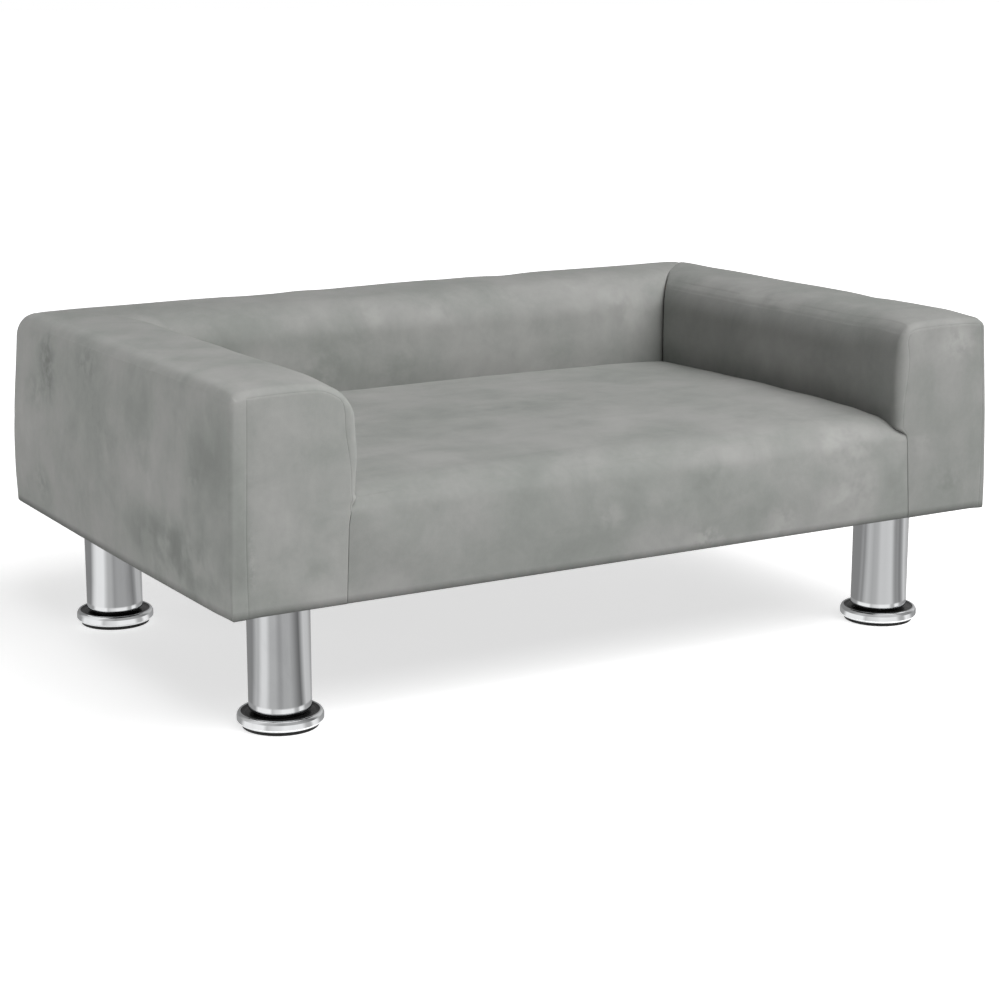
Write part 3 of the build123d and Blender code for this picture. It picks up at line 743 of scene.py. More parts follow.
def arm_placer(side):
    """The function that takes the points of one arm's block to their places on the padded arm."""

    def arm_point(place):
        across, y, up = place.x + OUTER_X, place.y, place.z
        share = (y - FRONT_Y) / (REAR_Y - FRONT_Y)
        dip = 0.0
        if y < FRONT_Y + 0.01:
            to_seam = panel_seam_distance(across, up, side)
            dip = along(abs(to_seam), SEAM_DIP) - 0.6 * ease(to_seam, 1.0, 22.0)
            dip *= ease(up, HEM_Z, HEM_Z + 3)
            dip -= pull_fold(across, up) if side == "left" else 0.0
        lean = seat_seam(up, side) * ease(across, 40.0, ARM_WIDTH - 2) * (1 - ease(up, 175.0, 184.0))
        across, y, up = roll_front(taper_strip(across, y, up), y, up)
        before = up
        swell = ARM_SWELL * along(share, ARM_FULLNESS[side])
        lean_in = between(*TOP_LEAN[side], ease(share, 0.0, 1.0))
        softness = along(share, ARM_SOFTNESS)
        rounder = ease(share, -0.03, 0.17)
        inner_round = [between(*pair, rounder) for pair in zip(FRONT_ROUNDING[side], INNER_ROUND)]
        across, up = wall_section(across, up, ARM_WIDTH, swell, lean_in, softness, inner_round)
        up += top_rise(-INNER_X if side == "left" else INNER_X) * ease(before, TOP_PADDING_Z, TOP_Z)
        x = (across - OUTER_X) * (1 if side == "left" else -1)
        up -= hem_sag(x, y, side) * (1 - ease(before, HEM_Z, HEM_Z + 24))
        across += lean
        up -= FRONT_TOP_DROP * (1 - ease(y, FRONT_Y, FRONT_Y + 44)) * ease(before, 200.0, TOP_Z)
        turn = ease(y, -80.0, MITRE_Y)
        slanted = y + turn * (mitre_y(across) - MITRE_Y)
        left = mitre_y(across) - slanted
        across, slanted = round_rear_corner(across, slanted, left, ARM_MITRE_SHARE, MITRE_SLOPE)
        if y > 0:
            groove = seam_groove(left)
            up -= GROOVE_DEPTH * groove * ease(before, TOP_PADDING_Z + 10, TOP_Z)
            groove *= ease(before, CREASE_Z + 2, CREASE_Z + 14)
            across -= groove * ease(across, ARM_WIDTH - 28, ARM_WIDTH - 4)
        return Vector((across - OUTER_X, slanted + dip, up))

    return arm_point


def arm_cuts(side):
    """The rows of the arm's block across its width, along its depth and up its height."""
    seam = PANEL_OUTER[side] - OUTER_X
    inner_seam = ARM_WIDTH - OUTER_X - PANEL_INNER
    near = [-2.0, -1.0, -0.4, 0.0, 0.4, 1.0, 2.0]
    across = [n - OUTER_X for n in (0.7, 1.5, 2.5, EDGE_ROUND)]
    across += rows(EDGE_ROUND - OUTER_X, seam - 3, 2.6) if seam + OUTER_X > 8 else []
    across += [seam + n for n in near if seam + n > EDGE_ROUND - OUTER_X - 0.7]
    across += rows(seam + 3, inner_seam - 3, 4.6) + [inner_seam + n for n in near]
    across += [ARM_WIDTH - OUTER_X - n for n in (5.4, 4.0, 2.6, 1.3)]
    y_rows = rows(FRONT_Y, MITRE_Y, 4.8, (0.8, 1.8, 3.0, 4.6, 6.5), SEAM_ROWS)
    top_seam = TOP_Z - PANEL_TOP
    up = rows(HEM_Z, PANEL_STEP, 5.0, HEM_ROWS) + [PANEL_STEP]
    up += rows(PANEL_STEP, FINE_TO_Z, 2.0) + [FINE_TO_Z] + rows(FINE_TO_Z, top_seam - 3, 4.4)
    up += [top_seam + n for n in near] + [TOP_Z - n for n in (6.5, 1.6)]
    return sorted(set(across)), y_rows, sorted(set(up))


# %% [markdown]
# ## Back
# The back is made as the arms are, without a panel. It ends in the same mitre seams, so its rows turn
# towards them from the other side. It is fullest in its middle, because the seams hold its ends.

# %% Back form
BACK_SWELL, BACK_FULLNESS = 11.0, ((0.0, 0.6), (0.2, 0.9), (0.5, 1.0), (0.8, 0.9), (1.0, 0.56))
INNER_X = OUTER_X - ARM_WIDTH


def back_point(place):
    """Takes a point of the back's block to its place on the padded back."""
    across, x, up = REAR_Y - place.y, place.x, place.z
    share = (x + INNER_X) / (2 * INNER_X)
    before = up
    softness = between(0.35, 1.0, ease(abs(x), 60.0, INNER_X))
    swell = BACK_SWELL * along(share, BACK_FULLNESS)
    lean_in = between(*TOP_LEAN["back"], ease(abs(x), 60.0, INNER_X))
    across, up = wall_section(across, up, BACK_WIDTH, swell, lean_in, softness, INNER_ROUND)
    up += top_rise(x) * ease(before, TOP_PADDING_Z, TOP_Z)
    side = 1 if x > 0 else -1
    turn = ease(abs(x), INNER_X * 0.55, INNER_X)
    end = OUTER_X - across / MITRE_SLOPE
    slanted = abs(x) + turn * (end - INNER_X)
    left = end - slanted
    across, slanted = round_rear_corner(across, slanted, left, BACK_MITRE_SHARE, 1 / MITRE_SLOPE)
    groove = seam_groove(left)
    up -= GROOVE_DEPTH * groove * ease(before, TOP_PADDING_Z + 10, TOP_Z)
    groove *= ease(before, CREASE_Z + 2, CREASE_Z + 14)
    across -= groove * ease(across, BACK_WIDTH - 32, BACK_WIDTH - 4)
    return Vector((side * slanted, REAR_Y - across, up))


def back_cuts():
    """The rows of the back's block."""
    x_rows = rows(-INNER_X, INNER_X, 5.2, SEAM_ROWS, SEAM_ROWS)
    y_rows = [REAR_Y - p for p in rows(0.0, BACK_WIDTH, 4.8, (1.5, 3.0, 5.0), (1.5, 3.0, 5.0))]
    up = rows(HEM_Z, TOP_Z, 4.8, HEM_ROWS, (1.6, 3.2, 4.8, 6.5))
    return x_rows, sorted(y_rows), up


# %% [markdown]
# ## Seat
# The seat is a foam slab on a deck, crowned in the middle and rounded over its front nose. Its front
# stands flush with the arms. At the sides and at the back its edge tucks under the swell of the walls.

# %% Seat form
SEAT_X, SEAT_REAR, SEAT_BLOCK_TOP = INNER_X - 0.12, MITRE_Y - 0.35, 193.0
NOSE_REACH, NOSE_DROP, NOSE_DROP_AT_ARMS, NOSE_FOOT_Z = 27.0, 21.0, 14.0, 168.0
SEAT_FRONT_BOW, EDGE_DROP = 2.0, {"left": 4.6, "right": 2.8}
TUCK_DEPTH, TUCK_REACH = 9.5, (-2.0, 10.5)
SEAT_TOP = (
    (-225.0, 188.5), (-195.0, 191.2), (-160.0, 193.4), (-113.0, 194.8),
    (-41.0, 195.2), (36.0, 194.6), (121.0, 193.4),
)


def tuck_depth(left):
    """How deep the seat's edge tucks under a wall, at a distance left to it."""
    return TUCK_DEPTH * (1 - ease(left, *TUCK_REACH)) ** 1.3


def seat_point(place):
    """Takes a point of the seat's block to its place on the padded seat."""
    x, y, up = place.x, place.y, place.z
    share = max(0.0, (up - HEM_Z) / (SEAT_BLOCK_TOP - HEM_Z))
    full = abs(x) / SEAT_X
    nose_drop = between(NOSE_DROP, NOSE_DROP_AT_ARMS, full**5)
    edge_in = max(0.0, 1 - (SEAT_X - abs(x)) / SEAM_ROUND)
    behind_front = max(0.0, 1 - (y - FRONT_Y) / SEAM_ROUND)
    in_y, in_up = 1 - (y - FRONT_Y) / NOSE_REACH, 1 - (SEAT_BLOCK_TOP - up) / nose_drop
    if in_y > 0 and in_up > 0:
        new_y, new_up = rolled(in_y, in_up)
        y = FRONT_Y + NOSE_REACH * (1 - new_y)
        up = SEAT_BLOCK_TOP - nose_drop * (1 - new_up)
    elif edge_in > 0 and behind_front > 0:
        new_in, new_behind = rolled(edge_in, behind_front)
        x = math.copysign(SEAT_X - SEAM_ROUND * (1 - new_in), x)
        y = FRONT_Y + SEAM_ROUND * (1 - new_behind)
    up += (along(y, SEAT_TOP) - SEAT_BLOCK_TOP) * ease(share, 0.35, 0.95)
    up -= EDGE_DROP["left" if x < 0 else "right"] * full**7 * ease(share, 0.5, 1.0)
    side_left, rear_left = SEAT_X - abs(x), SEAT_REAR - y
    behind_nose = ease(y, FRONT_Y + 1, FRONT_Y + 20)
    tuck = tuck_depth(side_left) * behind_nose
    tuck = max(tuck, tuck_depth(rear_left))
    up -= tuck * ease(share, 0.6, 1.0)
    height = (up - HEM_Z) / (NOSE_FOOT_Z - HEM_Z)
    bow = SEAT_FRONT_BOW * 4 * height * (1 - height) if 0 < height < 1 else 0.0
    front_share = 1 - ease(y, FRONT_Y, FRONT_Y + 60)
    y += front_share * (hem_draw(up) - bow * (1 - full**8))
    side, outwards = ("right", 1) if x > 0 else ("left", -1)
    lean = seat_seam(up, side) * ease(abs(x), SEAT_X - 60, SEAT_X)
    up -= hem_sag(x, y) * (1 - ease(place.z, HEM_Z, HEM_Z + 24))
    return Vector((x - outwards * lean, y, up))


def seat_cuts():
    """The rows of the seat's block."""
    x_rows = rows(-SEAT_X, SEAT_X, 5.6, SEAM_ROWS, SEAM_ROWS)
    y_rows = rows(FRONT_Y, SEAT_REAR, 5.6, (0.4, 0.9, 3.0, 6.0), SEAM_ROWS)
    up = rows(HEM_Z, SEAT_BLOCK_TOP, 5.0, HEM_ROWS, (1.5, 3.5))
    return x_rows, y_rows, up


# %% [markdown]
# ## Making the padded pieces
# Each block is cut, shaped and given a slow unevenness of half a millimetre, because hand-pulled velvet
# over foam is never quite flat. Beside the seams, and where seat and walls press on each other, the
# unevenness fades away.

# %% Shaping a block
PANEL_FACE = 1
SEEDS = {"left_arm": 3.0, "right_arm": 11.0, "back": 23.0, "seat": 37.0}
SLOW_WAVE, SLOW_PITCH, SLOW_PITCH_UP, QUICK_WAVE, QUICK_PITCH = 0.7, 90, 60, 0.1, 26
PRESSED_Z, PRESSED_X, PRESSED_Y = 192.0, 275.0, 135.0


def unevenness(place, seed):
    """A slow waviness of the padding, in millimetres."""
    x, y, z = place
    slow = noise.noise(Vector((x / SLOW_PITCH, y / SLOW_PITCH, z / SLOW_PITCH_UP + seed)))
    quick = noise.noise(Vector((x / QUICK_PITCH + seed, y / QUICK_PITCH, z / QUICK_PITCH)))
    return SLOW_WAVE * slow + QUICK_WAVE * quick


# How much painted shade lies low on each wall's inner face, beside the seat
SHADED_FOOT = {"left_arm": 0.2, "right_arm": 0.5, "back": 0.15}


def painted_shading(name, place):
    """Painted shade: 1 where the velvet turns under at the hem and round the seat, part of that low on the
    walls' inner faces beside the seat, and 0 a few millimetres away.
    """
    sag = hem_sag(place.x, place.y, "left" if name == "left_arm" else "front")
    at_hem = 1 - ease(place.z + sag, HEM_Z + 0.8, HEM_Z + 3.2)
    if name != "seat":
        inwards = REAR_Y - place.y if name == "back" else OUTER_X - abs(place.x)
        inner_face = ease(inwards, 70.0, 84.0) * ease(place.y, FRONT_Y + 4, FRONT_Y + 14)
        return max(at_hem, SHADED_FOOT[name] * inner_face * (1 - ease(place.z, 186.0, 214.0)))
    at_walls = 1 - ease(min(SEAT_X - abs(place.x), SEAT_REAR - place.y), 3.0, 9.0)
    return max(at_hem, at_walls * ease(place.y, FRONT_Y + 3, FRONT_Y + 12) * ease(place.z, 160.0, 176.0))


def shape_block(name, low, high, cuts, placed, side=None):
    """Cuts a block, takes every point to its place and returns the piece, in metres."""
    form = cut_block(low, high, cuts)
    for face in form.faces:
        middle = face.calc_center_median()
        at_front = side and middle.y < FRONT_Y + 0.01
        if at_front and panel_seam_distance(middle.x + OUTER_X, middle.z, side) > 0:
            face.material_index = PANEL_FACE
    for point in form.verts:
        point.co = placed(point.co)
    if side == "right":
        bmesh.ops.scale(form, vec=(-1, 1, 1), verts=form.verts)
    bmesh.ops.recalc_face_normals(form, faces=form.faces)
    form.normal_update()
    moves = {point: point.normal * unevenness(point.co, SEEDS[name]) for point in form.verts}
    for point, move in moves.items():
        hold = ease(point.co.z, HEM_Z + 2, HEM_Z + 30)
        point.co += move * hold * seam_slack(name, point.co)
    # Painted shade where the cloth turns under, kept on the points as an attribute
    fold = form.verts.layers.float.new("fold")
    for point in form.verts:
        point[fold] = painted_shading(name, point.co)
    bmesh.ops.scale(form, vec=(MM, MM, MM), verts=form.verts)
    piece = make_object(name, form)
    print(name, len(piece.data.polygons), "faces")
    return piece


def seam_slack(name, place):
    """1 in the middle of a face, 0 beside a seam or where seat and walls press on each other."""
    across = OUTER_X - abs(place.x)
    slack = ease(abs(mitre_y(across) - place.y), 0.5, 14.0) if name != "seat" else 1.0
    if name == "seat":
        slack *= ease(SEAT_X - abs(place.x), 1.0, 14.0) * ease(SEAT_REAR - place.y, 1.0, 14.0)
    else:
        clear = max(place.z - PRESSED_Z, abs(place.x) - PRESSED_X, place.y - PRESSED_Y)
        slack *= ease(clear, 0.0, 10.0)
    return slack * ease(place.y - FRONT_Y, -2.0, 8.0) if "arm" in name else slack


padded = {}
for side in ("left", "right"):
    low, high = (-OUTER_X, FRONT_Y, HEM_Z), (-INNER_X, MITRE_Y, TOP_Z)
    padded[f"{side}_arm"] = shape_block(f"{side}_arm", low, high, arm_cuts(side), arm_placer(side), side)
low, high = (-INNER_X, MITRE_Y, HEM_Z), (INNER_X, REAR_Y, TOP_Z)
padded["back"] = shape_block("back", low, high, back_cuts(), back_point)
low, high = (-SEAT_X, FRONT_Y, HEM_Z), (SEAT_X, SEAT_REAR, SEAT_BLOCK_TOP)
padded["seat"] = shape_block("seat", low, high, seat_cuts(), seat_point)

# %% [markdown]
# ## Letting the velvet settle
# The foam presses the velvet outwards, and the velvet is held at its seams and where it is stapled.
# A short cloth simulation does the same: a little air pressure, points held firmly at the seams and
# loosely, as by foam, everywhere else. The velvet starts slightly too large, so it settles in slow
# shallow waves. No point may move further than a cap, which keeps the sofa's outline.

# %% Cloth settings
SETTLE_FRAMES, SETTLE_CAP, EVENING_ROUNDS = 20, 1.6 * MM, 10
FOAM_HOLD, VELVET_SLACK, FOAM_PRESS = 0.15, 0.004, 5.0


def add_cloth(piece):
    """Gives a padded piece a Cloth modifier, held at its seams."""
    held = piece.vertex_groups.new(name="held")
    for point in piece.data.vertices:
        place = point.co / MM
        free = seam_slack(piece.name, place) * ease(place.z, HEM_Z + 2, HEM_Z + 24)
        held.add([point.index], 1.0 - (1.0 - FOAM_HOLD) * free, "REPLACE")
    cloth = piece.modifiers.new("settling", "CLOTH")
    settings = cloth.settings
    settings.quality = 5
    settings.mass = 0.25
    settings.tension_stiffness = settings.compression_stiffness = 12.0
    settings.shear_stiffness = 4.0
    settings.bending_stiffness = 6.0
    settings.shrink_min = settings.shrink_max = -VELVET_SLACK
    settings.vertex_group_mass = "held"
    settings.pin_stiffness = 1.0
    settings.use_pressure = True
    settings.uniform_pressure_force = FOAM_PRESS
    settings.effector_weights.gravity = 0.0
    cloth.collision_settings.use_collision = False
    cloth.point_cache.frame_start = 1
    cloth.point_cache.frame_end = SETTLE_FRAMES


def evened(moves, edges):
    """The moves averaged with those of their neighbours, because plush hides the smallest waves."""
    sums, counts = [move.copy() for move in moves], [1] * len(moves)
    for first, second in edges:
        sums[first] += moves[second]
        sums[second] += moves[first]
        counts[first] += 1
        counts[second] += 1
    return [total / count for total, count in zip(sums, counts)]


def keep_settled(piece):
    """Puts the settled velvet in the mesh, with its moves evened and capped, and drops the Cloth."""
    settled = piece.evaluated_get(bpy.context.evaluated_depsgraph_get()).data
    moves = [after.co - point.co for point, after in zip(piece.data.vertices, settled.vertices)]
    edges = [tuple(edge.vertices) for edge in piece.data.edges]
    for _ in range(EVENING_ROUNDS):
        moves = evened(moves, edges)
    moves = [move * min(1.0, SETTLE_CAP / max(move.length, MM * MM)) for move in moves]
    for point, move in zip(piece.data.vertices, moves):
        point.co += move
    piece.modifiers.clear()
    piece.vertex_groups.clear()
    lengths = [move.length / MM for move in moves]
    mean = sum(lengths) / len(lengths)
    print(piece.name, "settled by up to", round(max(lengths), 2), "mm, mean", round(mean, 2))


# %% Settling all four padded pieces together
for piece in padded.values():
    add_cloth(piece)
for step in range(1, SETTLE_FRAMES + 1):
    bpy.context.scene.frame_set(step)
for piece in padded.values():
    keep_settled(piece)
bpy.context.scene.frame_set(1)

# %% [markdown]
# ## Sewn front panels
# The panel is a piece of its own, sewn to the strip round it. Its faces are taken out of the settled
# arm along the seam. Both parts turn inwards at the seam, as a seam allowance does, and are closed. The
# seam's edges are creased, so that smoothing leaves the two parts touching.


# %% Taking the panels out along their seams
def close_inwards(form):
    """Turns the open edge of a piece inwards by 3 mm and closes it."""
    tight = form.edges.layers.float.new("crease_edge")
    open_edges = [edge for edge in form.edges if edge.is_boundary]
    for edge in open_edges:
        edge[tight] = 1.0
    turned_in = bmesh.ops.extrude_edge_only(form, edges=open_edges)["geom"]
    points = [part for part in turned_in if isinstance(part, bmesh.types.BMVert)]
    middle = sum((point.co for point in points), Vector()) / len(points)
    for point in points:
        point.co += Vector(((middle.x - point.co.x) * 0.04, 3 * MM, (middle.z - point.co.z) * 0.03))
    rim = [part for part in turned_in if isinstance(part, bmesh.types.BMEdge) and part.is_boundary]
    bmesh.ops.contextual_create(form, geom=rim)
    bmesh.ops.recalc_face_normals(form, faces=form.faces)


def keep_faces(mesh, name, wanted):
    """A mesh with only the panel's faces, or only the others, closed along the seam."""
    form = bmesh.new()
    form.from_mesh(mesh)
    other = [face for face in form.faces if (face.material_index == PANEL_FACE) != wanted]
    bmesh.ops.delete(form, geom=other, context="FACES")
    close_inwards(form)
    for face in form.faces:
        face.material_index = 0
        face.smooth = True
    kept = bpy.data.meshes.new(name)
    form.to_mesh(kept)
    form.free()
    return kept


for name in ("left_arm", "right_arm"):
    whole = padded[name].data
    panel_mesh = keep_faces(whole, name + "_panel", True)
    padded[name].data = keep_faces(whole, name, False)
    panel_piece = bpy.data.objects.new(name + "_sewn_panel", panel_mesh)
    bpy.context.scene.collection.objects.link(panel_piece)
    padded[name + "_sewn_panel"] = panel_piece
    print(name, "panel", len(panel_mesh.polygons), "faces")

# %% Finishing the padded pieces: velvet, body, the frame parts they stand for hidden, and a finer level
STANDS_FOR = {
    "left_arm": ["left_arm_cover", "left_arm_foam"],
    "right_arm": ["right_arm_cover", "right_arm_foam"],
    "left_arm_sewn_panel": ["left_arm_front_panel"],
    "right_arm_sewn_panel": ["right_arm_front_panel"],
    "back": ["back_cover", "back_foam"],
    "seat": ["seat_cover", "seat_foam"],
}
for name, piece in padded.items():
    piece.data.materials.append(velvets[name.replace("_sewn_panel", "")])
    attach(piece, "root")
    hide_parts(*STANDS_FOR[name])
    finer = piece.modifiers.new("finer_velvet", "SUBSURF")
    finer.levels = finer.render_levels = 1

# %% [markdown]
# ## Hard finishes
# Small unevenness makes a hard finish look real: polishing leaves faint smears on chrome, zinc has a
# spangle, timber has grain and plywood its layers. The smears and the grain are groups, each used with its
# own values.

# %% Smears group
smears, smears_in, smears_out = start_group(
    "handling_smears",
    [("Place", "Vector", None), ("Clean", "Float", 0.05), ("Smeared", "Float", 0.12)],
    [("Roughness", "Float"), ("Height", "Float")],
)
smear = cloud(smears, stretched(smears, smears_in["Place"], (1, 1, 0.35)), 38.0, 4.0, 0.6, 0.6)
smear = spread(smears, smear, 0.42, 0.72)
span = calculate(smears, "SUBTRACT", smears_in["Smeared"], smears_in["Clean"])
smeared = calculate(smears, "MULTIPLY_ADD", smear, span, smears_in["Clean"])
smears.links.new(smeared, smears_out["Roughness"])
fine = cloud(smears, stretched(smears, smears_in["Place"], (1, 1, 0.04)), 900.0, 2.0)
smears.links.new(fine, smears_out["Height"])

# %% Chrome
chrome, tree, shader, place = start_material("polished_chrome", Metallic=1.0)
made = place_group(tree, smears, {"Place": place, "Clean": 0.045, "Smeared": 0.1})
tree.links.new(made["Roughness"], shader.inputs["Roughness"])
dulled = spread(tree, made["Roughness"], 0.045, 0.1)
sheen = mix_colours(tree, dulled, (0.83, 0.84, 0.85, 1), (0.78, 0.79, 0.8, 1))
tree.links.new(sheen, shader.inputs["Base Color"])
bump_from(tree, shader, made["Height"], 0.004 * MM, 0.5)

# %% Black plastic and glide rubber
black_plastic, tree, shader, place = start_material("black_plastic", Specular_IOR_Level=0.3)
made = place_group(tree, smears, {"Place": place, "Clean": 0.22, "Smeared": 0.4})
tree.links.new(made["Roughness"], shader.inputs["Roughness"])
dust = cloud(tree, place, 420.0, 3.0)
tree.links.new(mix_colours(tree, dust, grey(0.006), grey(0.016)), shader.inputs["Base Color"])
bump_from(tree, shader, made["Height"], 0.01 * MM, 0.4)

glide_rubber, tree, shader, place = start_material("glide_rubber", Specular_IOR_Level=0.3)
scuffed = spread(tree, cloud(tree, place, 160.0, 4.0), 0.4, 0.7)
tree.links.new(mix_colours(tree, scuffed, grey(0.004), grey(0.014)), shader.inputs["Base Color"])
tree.links.new(spread(tree, scuffed, 0.0, 1.0, 0.5, 0.8), shader.inputs["Roughness"])
bump_from(tree, shader, cloud(tree, place, 1500.0), 0.03 * MM, 0.5)

# %% Zinc plated steel
zinc, tree, shader, place = start_material("zinc_plate", Metallic=1.0)
spangle = add_node(tree, "ShaderNodeTexVoronoi", {"Vector": place, "Scale": 520.0}).outputs["Color"]
patch = spread(tree, add_node(tree, "ShaderNodeSeparateColor", {"Color": spangle}).outputs[0], 0.0, 1.0)
greys = mix_colours(tree, patch, (0.5, 0.51, 0.53, 1), (0.62, 0.63, 0.64, 1))
tree.links.new(greys, shader.inputs["Base Color"])
tree.links.new(spread(tree, patch, 0.0, 1.0, 0.3, 0.42), shader.inputs["Roughness"])
bump_from(tree, shader, cloud(tree, place, 1200.0), 0.02 * MM, 0.4)

# %% Wood group, for timber and plywood
wood, wood_in, wood_out = start_group(
    "wood_grain",
    [
        ("Place", "Vector", None),
        ("Light", "Color", (0.7, 0.54, 0.35, 1)),
        ("Dark", "Color", (0.5, 0.34, 0.2, 1)),
    ],
    [("Color", "Color"), ("Height", "Float")],
)
grain_place = stretched(wood, wood_in["Place"], (1.0, 12.0, 12.0))
wander = cloud(wood, grain_place, 3.0, 3.0, 0.5, 0.8)
bands = add_node(
    wood,
    "ShaderNodeTexWave",
    {"Vector": grain_place, "Scale": 5.0, "Distortion": 7.0, "Detail": 3.0, "Detail Scale": 1.2},
    bands_direction="Y",
).outputs["Fac"]
fibres = cloud(wood, stretched(wood, wood_in["Place"], (8.0, 300.0, 300.0)), 4.0, 3.0)
share = calculate(wood, "MULTIPLY_ADD", wander, 0.4, calculate(wood, "MULTIPLY", bands, 0.5))
share = calculate(wood, "MULTIPLY_ADD", fibres, 0.3, calculate(wood, "SUBTRACT", share, 0.1), clamp=True)
wood.links.new(mix_colours(wood, share, wood_in["Light"], wood_in["Dark"]), wood_out["Color"])
wood.links.new(fibres, wood_out["Height"])


def make_wood(name, turn, light, dark, ply_axis=None):
    """Timber, or plywood whose layers lie one above another along an axis."""
    material, tree, shader, place = start_material(name, Roughness=0.75, Specular_IOR_Level=0.25)
    turned_place = stretched(tree, place, (1, 1, 1), turn=turn)
    made = place_group(tree, wood, {"Place": turned_place, "Light": light, "Dark": dark})
    colour = made["Color"]
    if ply_axis is not None:
        along_axis = add_node(tree, "ShaderNodeSeparateXYZ", {"Vector": place}).outputs[ply_axis]
        layer = calculate(tree, "PINGPONG", along_axis, 1.2 * MM)
        layer = spread(tree, layer, 0.4 * MM, 0.8 * MM)
        facing = add_node(tree, "ShaderNodeNewGeometry").outputs["True Normal"]
        facing = add_node(tree, "ShaderNodeSeparateXYZ", {"Vector": facing}).outputs[ply_axis]
        on_edge = spread(tree, calculate(tree, "ABSOLUTE", facing), 0.6, 0.3)
        layer = calculate(tree, "MULTIPLY", layer, on_edge)
        colour = mix_colours(tree, layer, colour, (0.2, 0.12, 0.07, 1))
    tree.links.new(colour, shader.inputs["Base Color"])
    bump_from(tree, shader, made["Height"], 0.15 * MM, 0.6)
    return material


QUARTER = math.pi / 2
pine_tones = ((0.72, 0.55, 0.34, 1), (0.5, 0.33, 0.18, 1))
birch_tones = ((0.66, 0.5, 0.33, 1), (0.48, 0.33, 0.2, 1))
pine_along = make_wood("pine_along_x", (0, 0, 0), *pine_tones)
pine_across = make_wood("pine_along_y", (0, 0, QUARTER), *pine_tones)
ply_flat = make_wood("plywood_flat", (0, 0, 0), *birch_tones, ply_axis=2)
ply_side = make_wood("plywood_side", (0, 0, QUARTER), *birch_tones, ply_axis=0)
ply_back = make_wood("plywood_back", (0, 0, 0), *birch_tones, ply_axis=1)

# %% Dust cover cloth
dust_cloth, tree, shader, place = start_material("dust_cover_cloth", Roughness=0.9, Specular_IOR_Level=0.15)
spots = add_node(tree, "ShaderNodeTexVoronoi", {"Vector": place, "Scale": 620.0}).outputs["Distance"]
felt = cloud(tree, stretched(tree, place, (1, 1.6, 1)), 260.0, 5.0, 0.7)
tree.links.new(mix_colours(tree, felt, grey(0.008), grey(0.03)), shader.inputs["Base Color"])
pressed = calculate(tree, "ADD", spread(tree, spots, 0.1, 0.4), felt)
bump_from(tree, shader, pressed, 0.12 * MM, 0.7)

# %% Finishes for the frame's own pieces
BACK_BOARDS = ("back_outer_board", "back_inner_board", "front_board")
FRAME_FINISHES = (
    (pine_along, ("base_front_rail", "base_rear_rail")),
    (pine_across, ("base_left_rail", "base_right_rail", "base_centre_rail")),
    (pine_along, tuple(n for n in nodes if n.startswith("corner_block"))),
    (ply_flat, tuple(n for n in nodes if n == "seat_deck" or n.endswith("top_board"))),
    (ply_side, tuple(n for n in nodes if n.endswith(("arm_outer_board", "arm_inner_board")))),
    (ply_back, tuple(n for n in nodes if n.endswith(BACK_BOARDS))),
    (dust_cloth, ("dust_cover",)),
    (zinc, ("staples", "frame_screws", "leg_screws")),
    (black_plastic, ("threaded_inserts",)),
    (zinc, tuple(n for n in nodes if n.startswith(("mount_plate", "foot_stud")))),
)
for finish, members in FRAME_FINISHES:
    for member in members:
        nodes[member].data.materials.clear()
        nodes[member].data.materials.append(finish)
print(sum(len(members) for _, members in FRAME_FINISHES), "frame pieces finished")

# %% [markdown]
# ## Legs and levelling feet
# A leg is a chromed steel tube, and its foot a rounded chromed rim on a black moulded core with a thin
# black glide under it. They were turned and drawn round an axis, so each starts as a few corners of
# its outline, is spun round the leg's axis, and gets its edges rounded with a bevel.


# %% Turning a piece about a leg's axis
SHARP_ANGLE = math.radians(38)


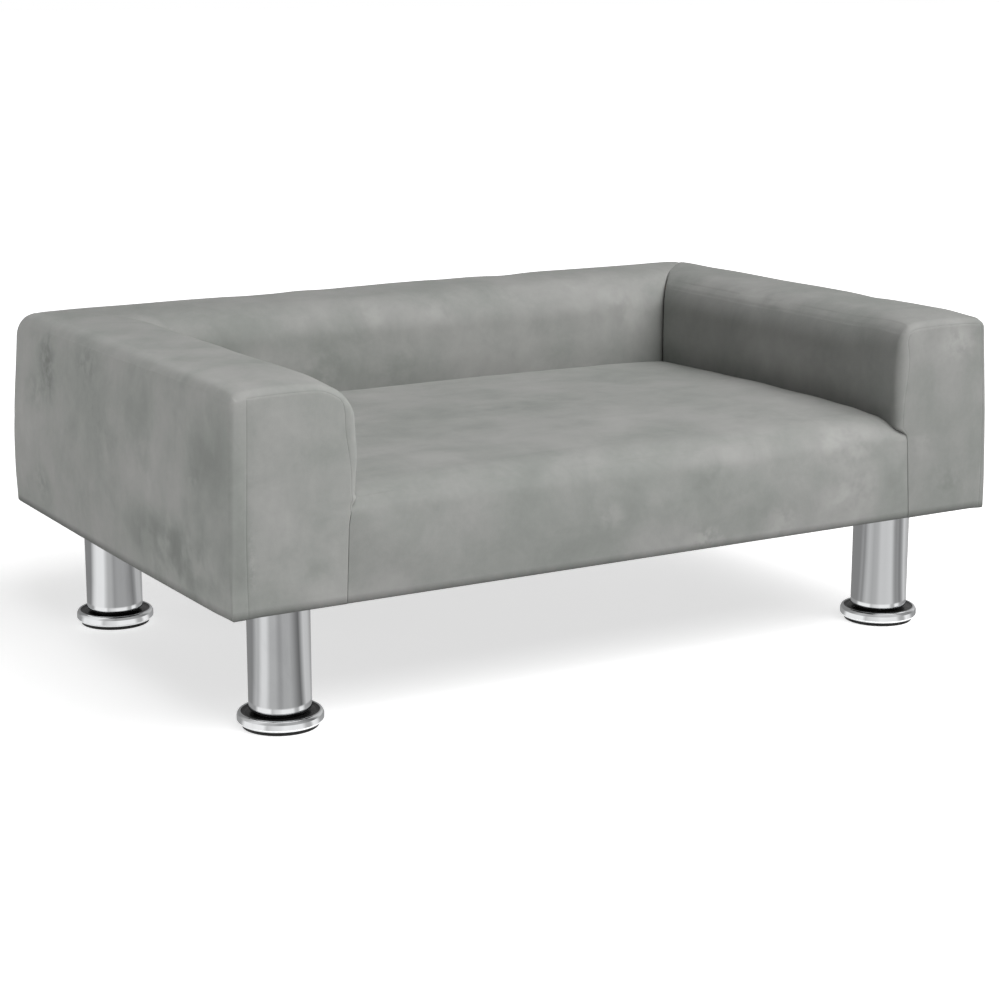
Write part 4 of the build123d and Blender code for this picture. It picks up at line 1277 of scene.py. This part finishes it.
def turned_piece(name, outline, centre, steps=112):
    """Spins an outline of (radius, height, rounding) corners, in millimetres, and rounds its rings."""
    form = bmesh.new()
    corners = [form.verts.new((radius, 0, height)) for radius, height, _ in outline]
    for first, second in zip(corners, corners[1:] + corners[:1]):
        if first.co.x > 0 or second.co.x > 0:
            form.edges.new((first, second))
    outline_parts = form.verts[:] + form.edges[:]
    bmesh.ops.spin(
        form,
        geom=outline_parts,
        cent=(0, 0, 0),
        axis=(0, 0, 1),
        dvec=(0, 0, 0),
        angle=math.tau,
        steps=steps,
        use_merge=True,
        use_duplicate=False,
    )
    bmesh.ops.remove_doubles(form, verts=form.verts, dist=0.001)
    bmesh.ops.recalc_face_normals(form, faces=form.faces)
    for radius, height, rounding in outline:
        if rounding > 0:
            ring = [edge for edge in form.edges if all(on_ring(v.co, radius, height) for v in edge.verts)]
            bmesh.ops.bevel(
                form,
                geom=ring,
                offset=rounding,
                offset_type="OFFSET",
                segments=5,
                profile=0.5,
                affect="EDGES",
                material=-1,
                clamp_overlap=True,
            )
    bmesh.ops.translate(form, vec=Vector(centre) / MM, verts=form.verts)
    bmesh.ops.scale(form, vec=(MM, MM, MM), verts=form.verts)
    piece = make_object(name, form)
    piece.data.set_sharp_from_angle(angle=SHARP_ANGLE)
    return piece


def on_ring(place, radius, height):
    """Whether a point stands on one ring of a turned piece."""
    return abs(math.hypot(place.x, place.y) - radius) < 0.01 and abs(place.z - height) < 0.01


# %% Outlines of the leg's pieces
TUBE_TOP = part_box("leg_tube_front_left")[1].z / MM
TUBE = ((22.5, 14.0, 0.3), (24.0, 14.0, 0.7), (24.0, TUBE_TOP, 0.0), (22.5, TUBE_TOP, 0.0))
RIM = (
    (29.8, 3.1, 0.2), (30.9, 3.1, 0.5), (33.0, 4.9, 1.3),
    (33.0, 10.0, 1.6), (31.2, 12.3, 0.9), (29.8, 12.1, 0.4),
)
CORE = (
    (4.1, 3.1, 0.0), (29.75, 3.1, 0.0), (29.75, 11.3, 0.5), (27.0, 10.8, 0.4), (26.0, 11.2, 0.4),
    (19.5, 11.4, 0.3), (19.5, 13.7, 0.3), (5.05, 13.7, 0.0), (5.05, 5.4, 0.0), (4.1, 5.4, 0.0),
)
GLIDE = (
    (0.0, 0.0, 0.0), (29.2, 0.0, 0.6), (29.2, 3.0, 0.5),
    (4.0, 3.0, 0.0), (4.0, 5.0, 0.3), (0.0, 5.0, 0.0),
)

# %% Four legs
LEG_PIECES = (
    ("leg_tube", "polished_tube", TUBE, chrome, "chrome", "root"),
    ("foot_rim", "rounded_rim", RIM, chrome, "chrome", "foot_screw_"),
    ("foot_core", "moulded_core", CORE, black_plastic, "black_plastic", "foot_screw_"),
    ("foot_pad", "floor_glide", GLIDE, glide_rubber, "glide_rubber", "foot_glide_"),
)
for corner in ("front_left", "front_right", "rear_left", "rear_right"):
    low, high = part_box(f"leg_tube_{corner}")
    centre = ((low.x + high.x) / 2, (low.y + high.y) / 2, 0)
    for node_name, piece_name, outline, finish, slot_name, body in LEG_PIECES:
        piece = turned_piece(f"{piece_name}_{corner}", outline, centre)
        piece.data.materials.append(finish)
        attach(piece, body if body == "root" else body + corner)
        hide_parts(f"{node_name}_{corner}")
print("legs turned, tube top at", round(TUBE_TOP, 1), "mm")
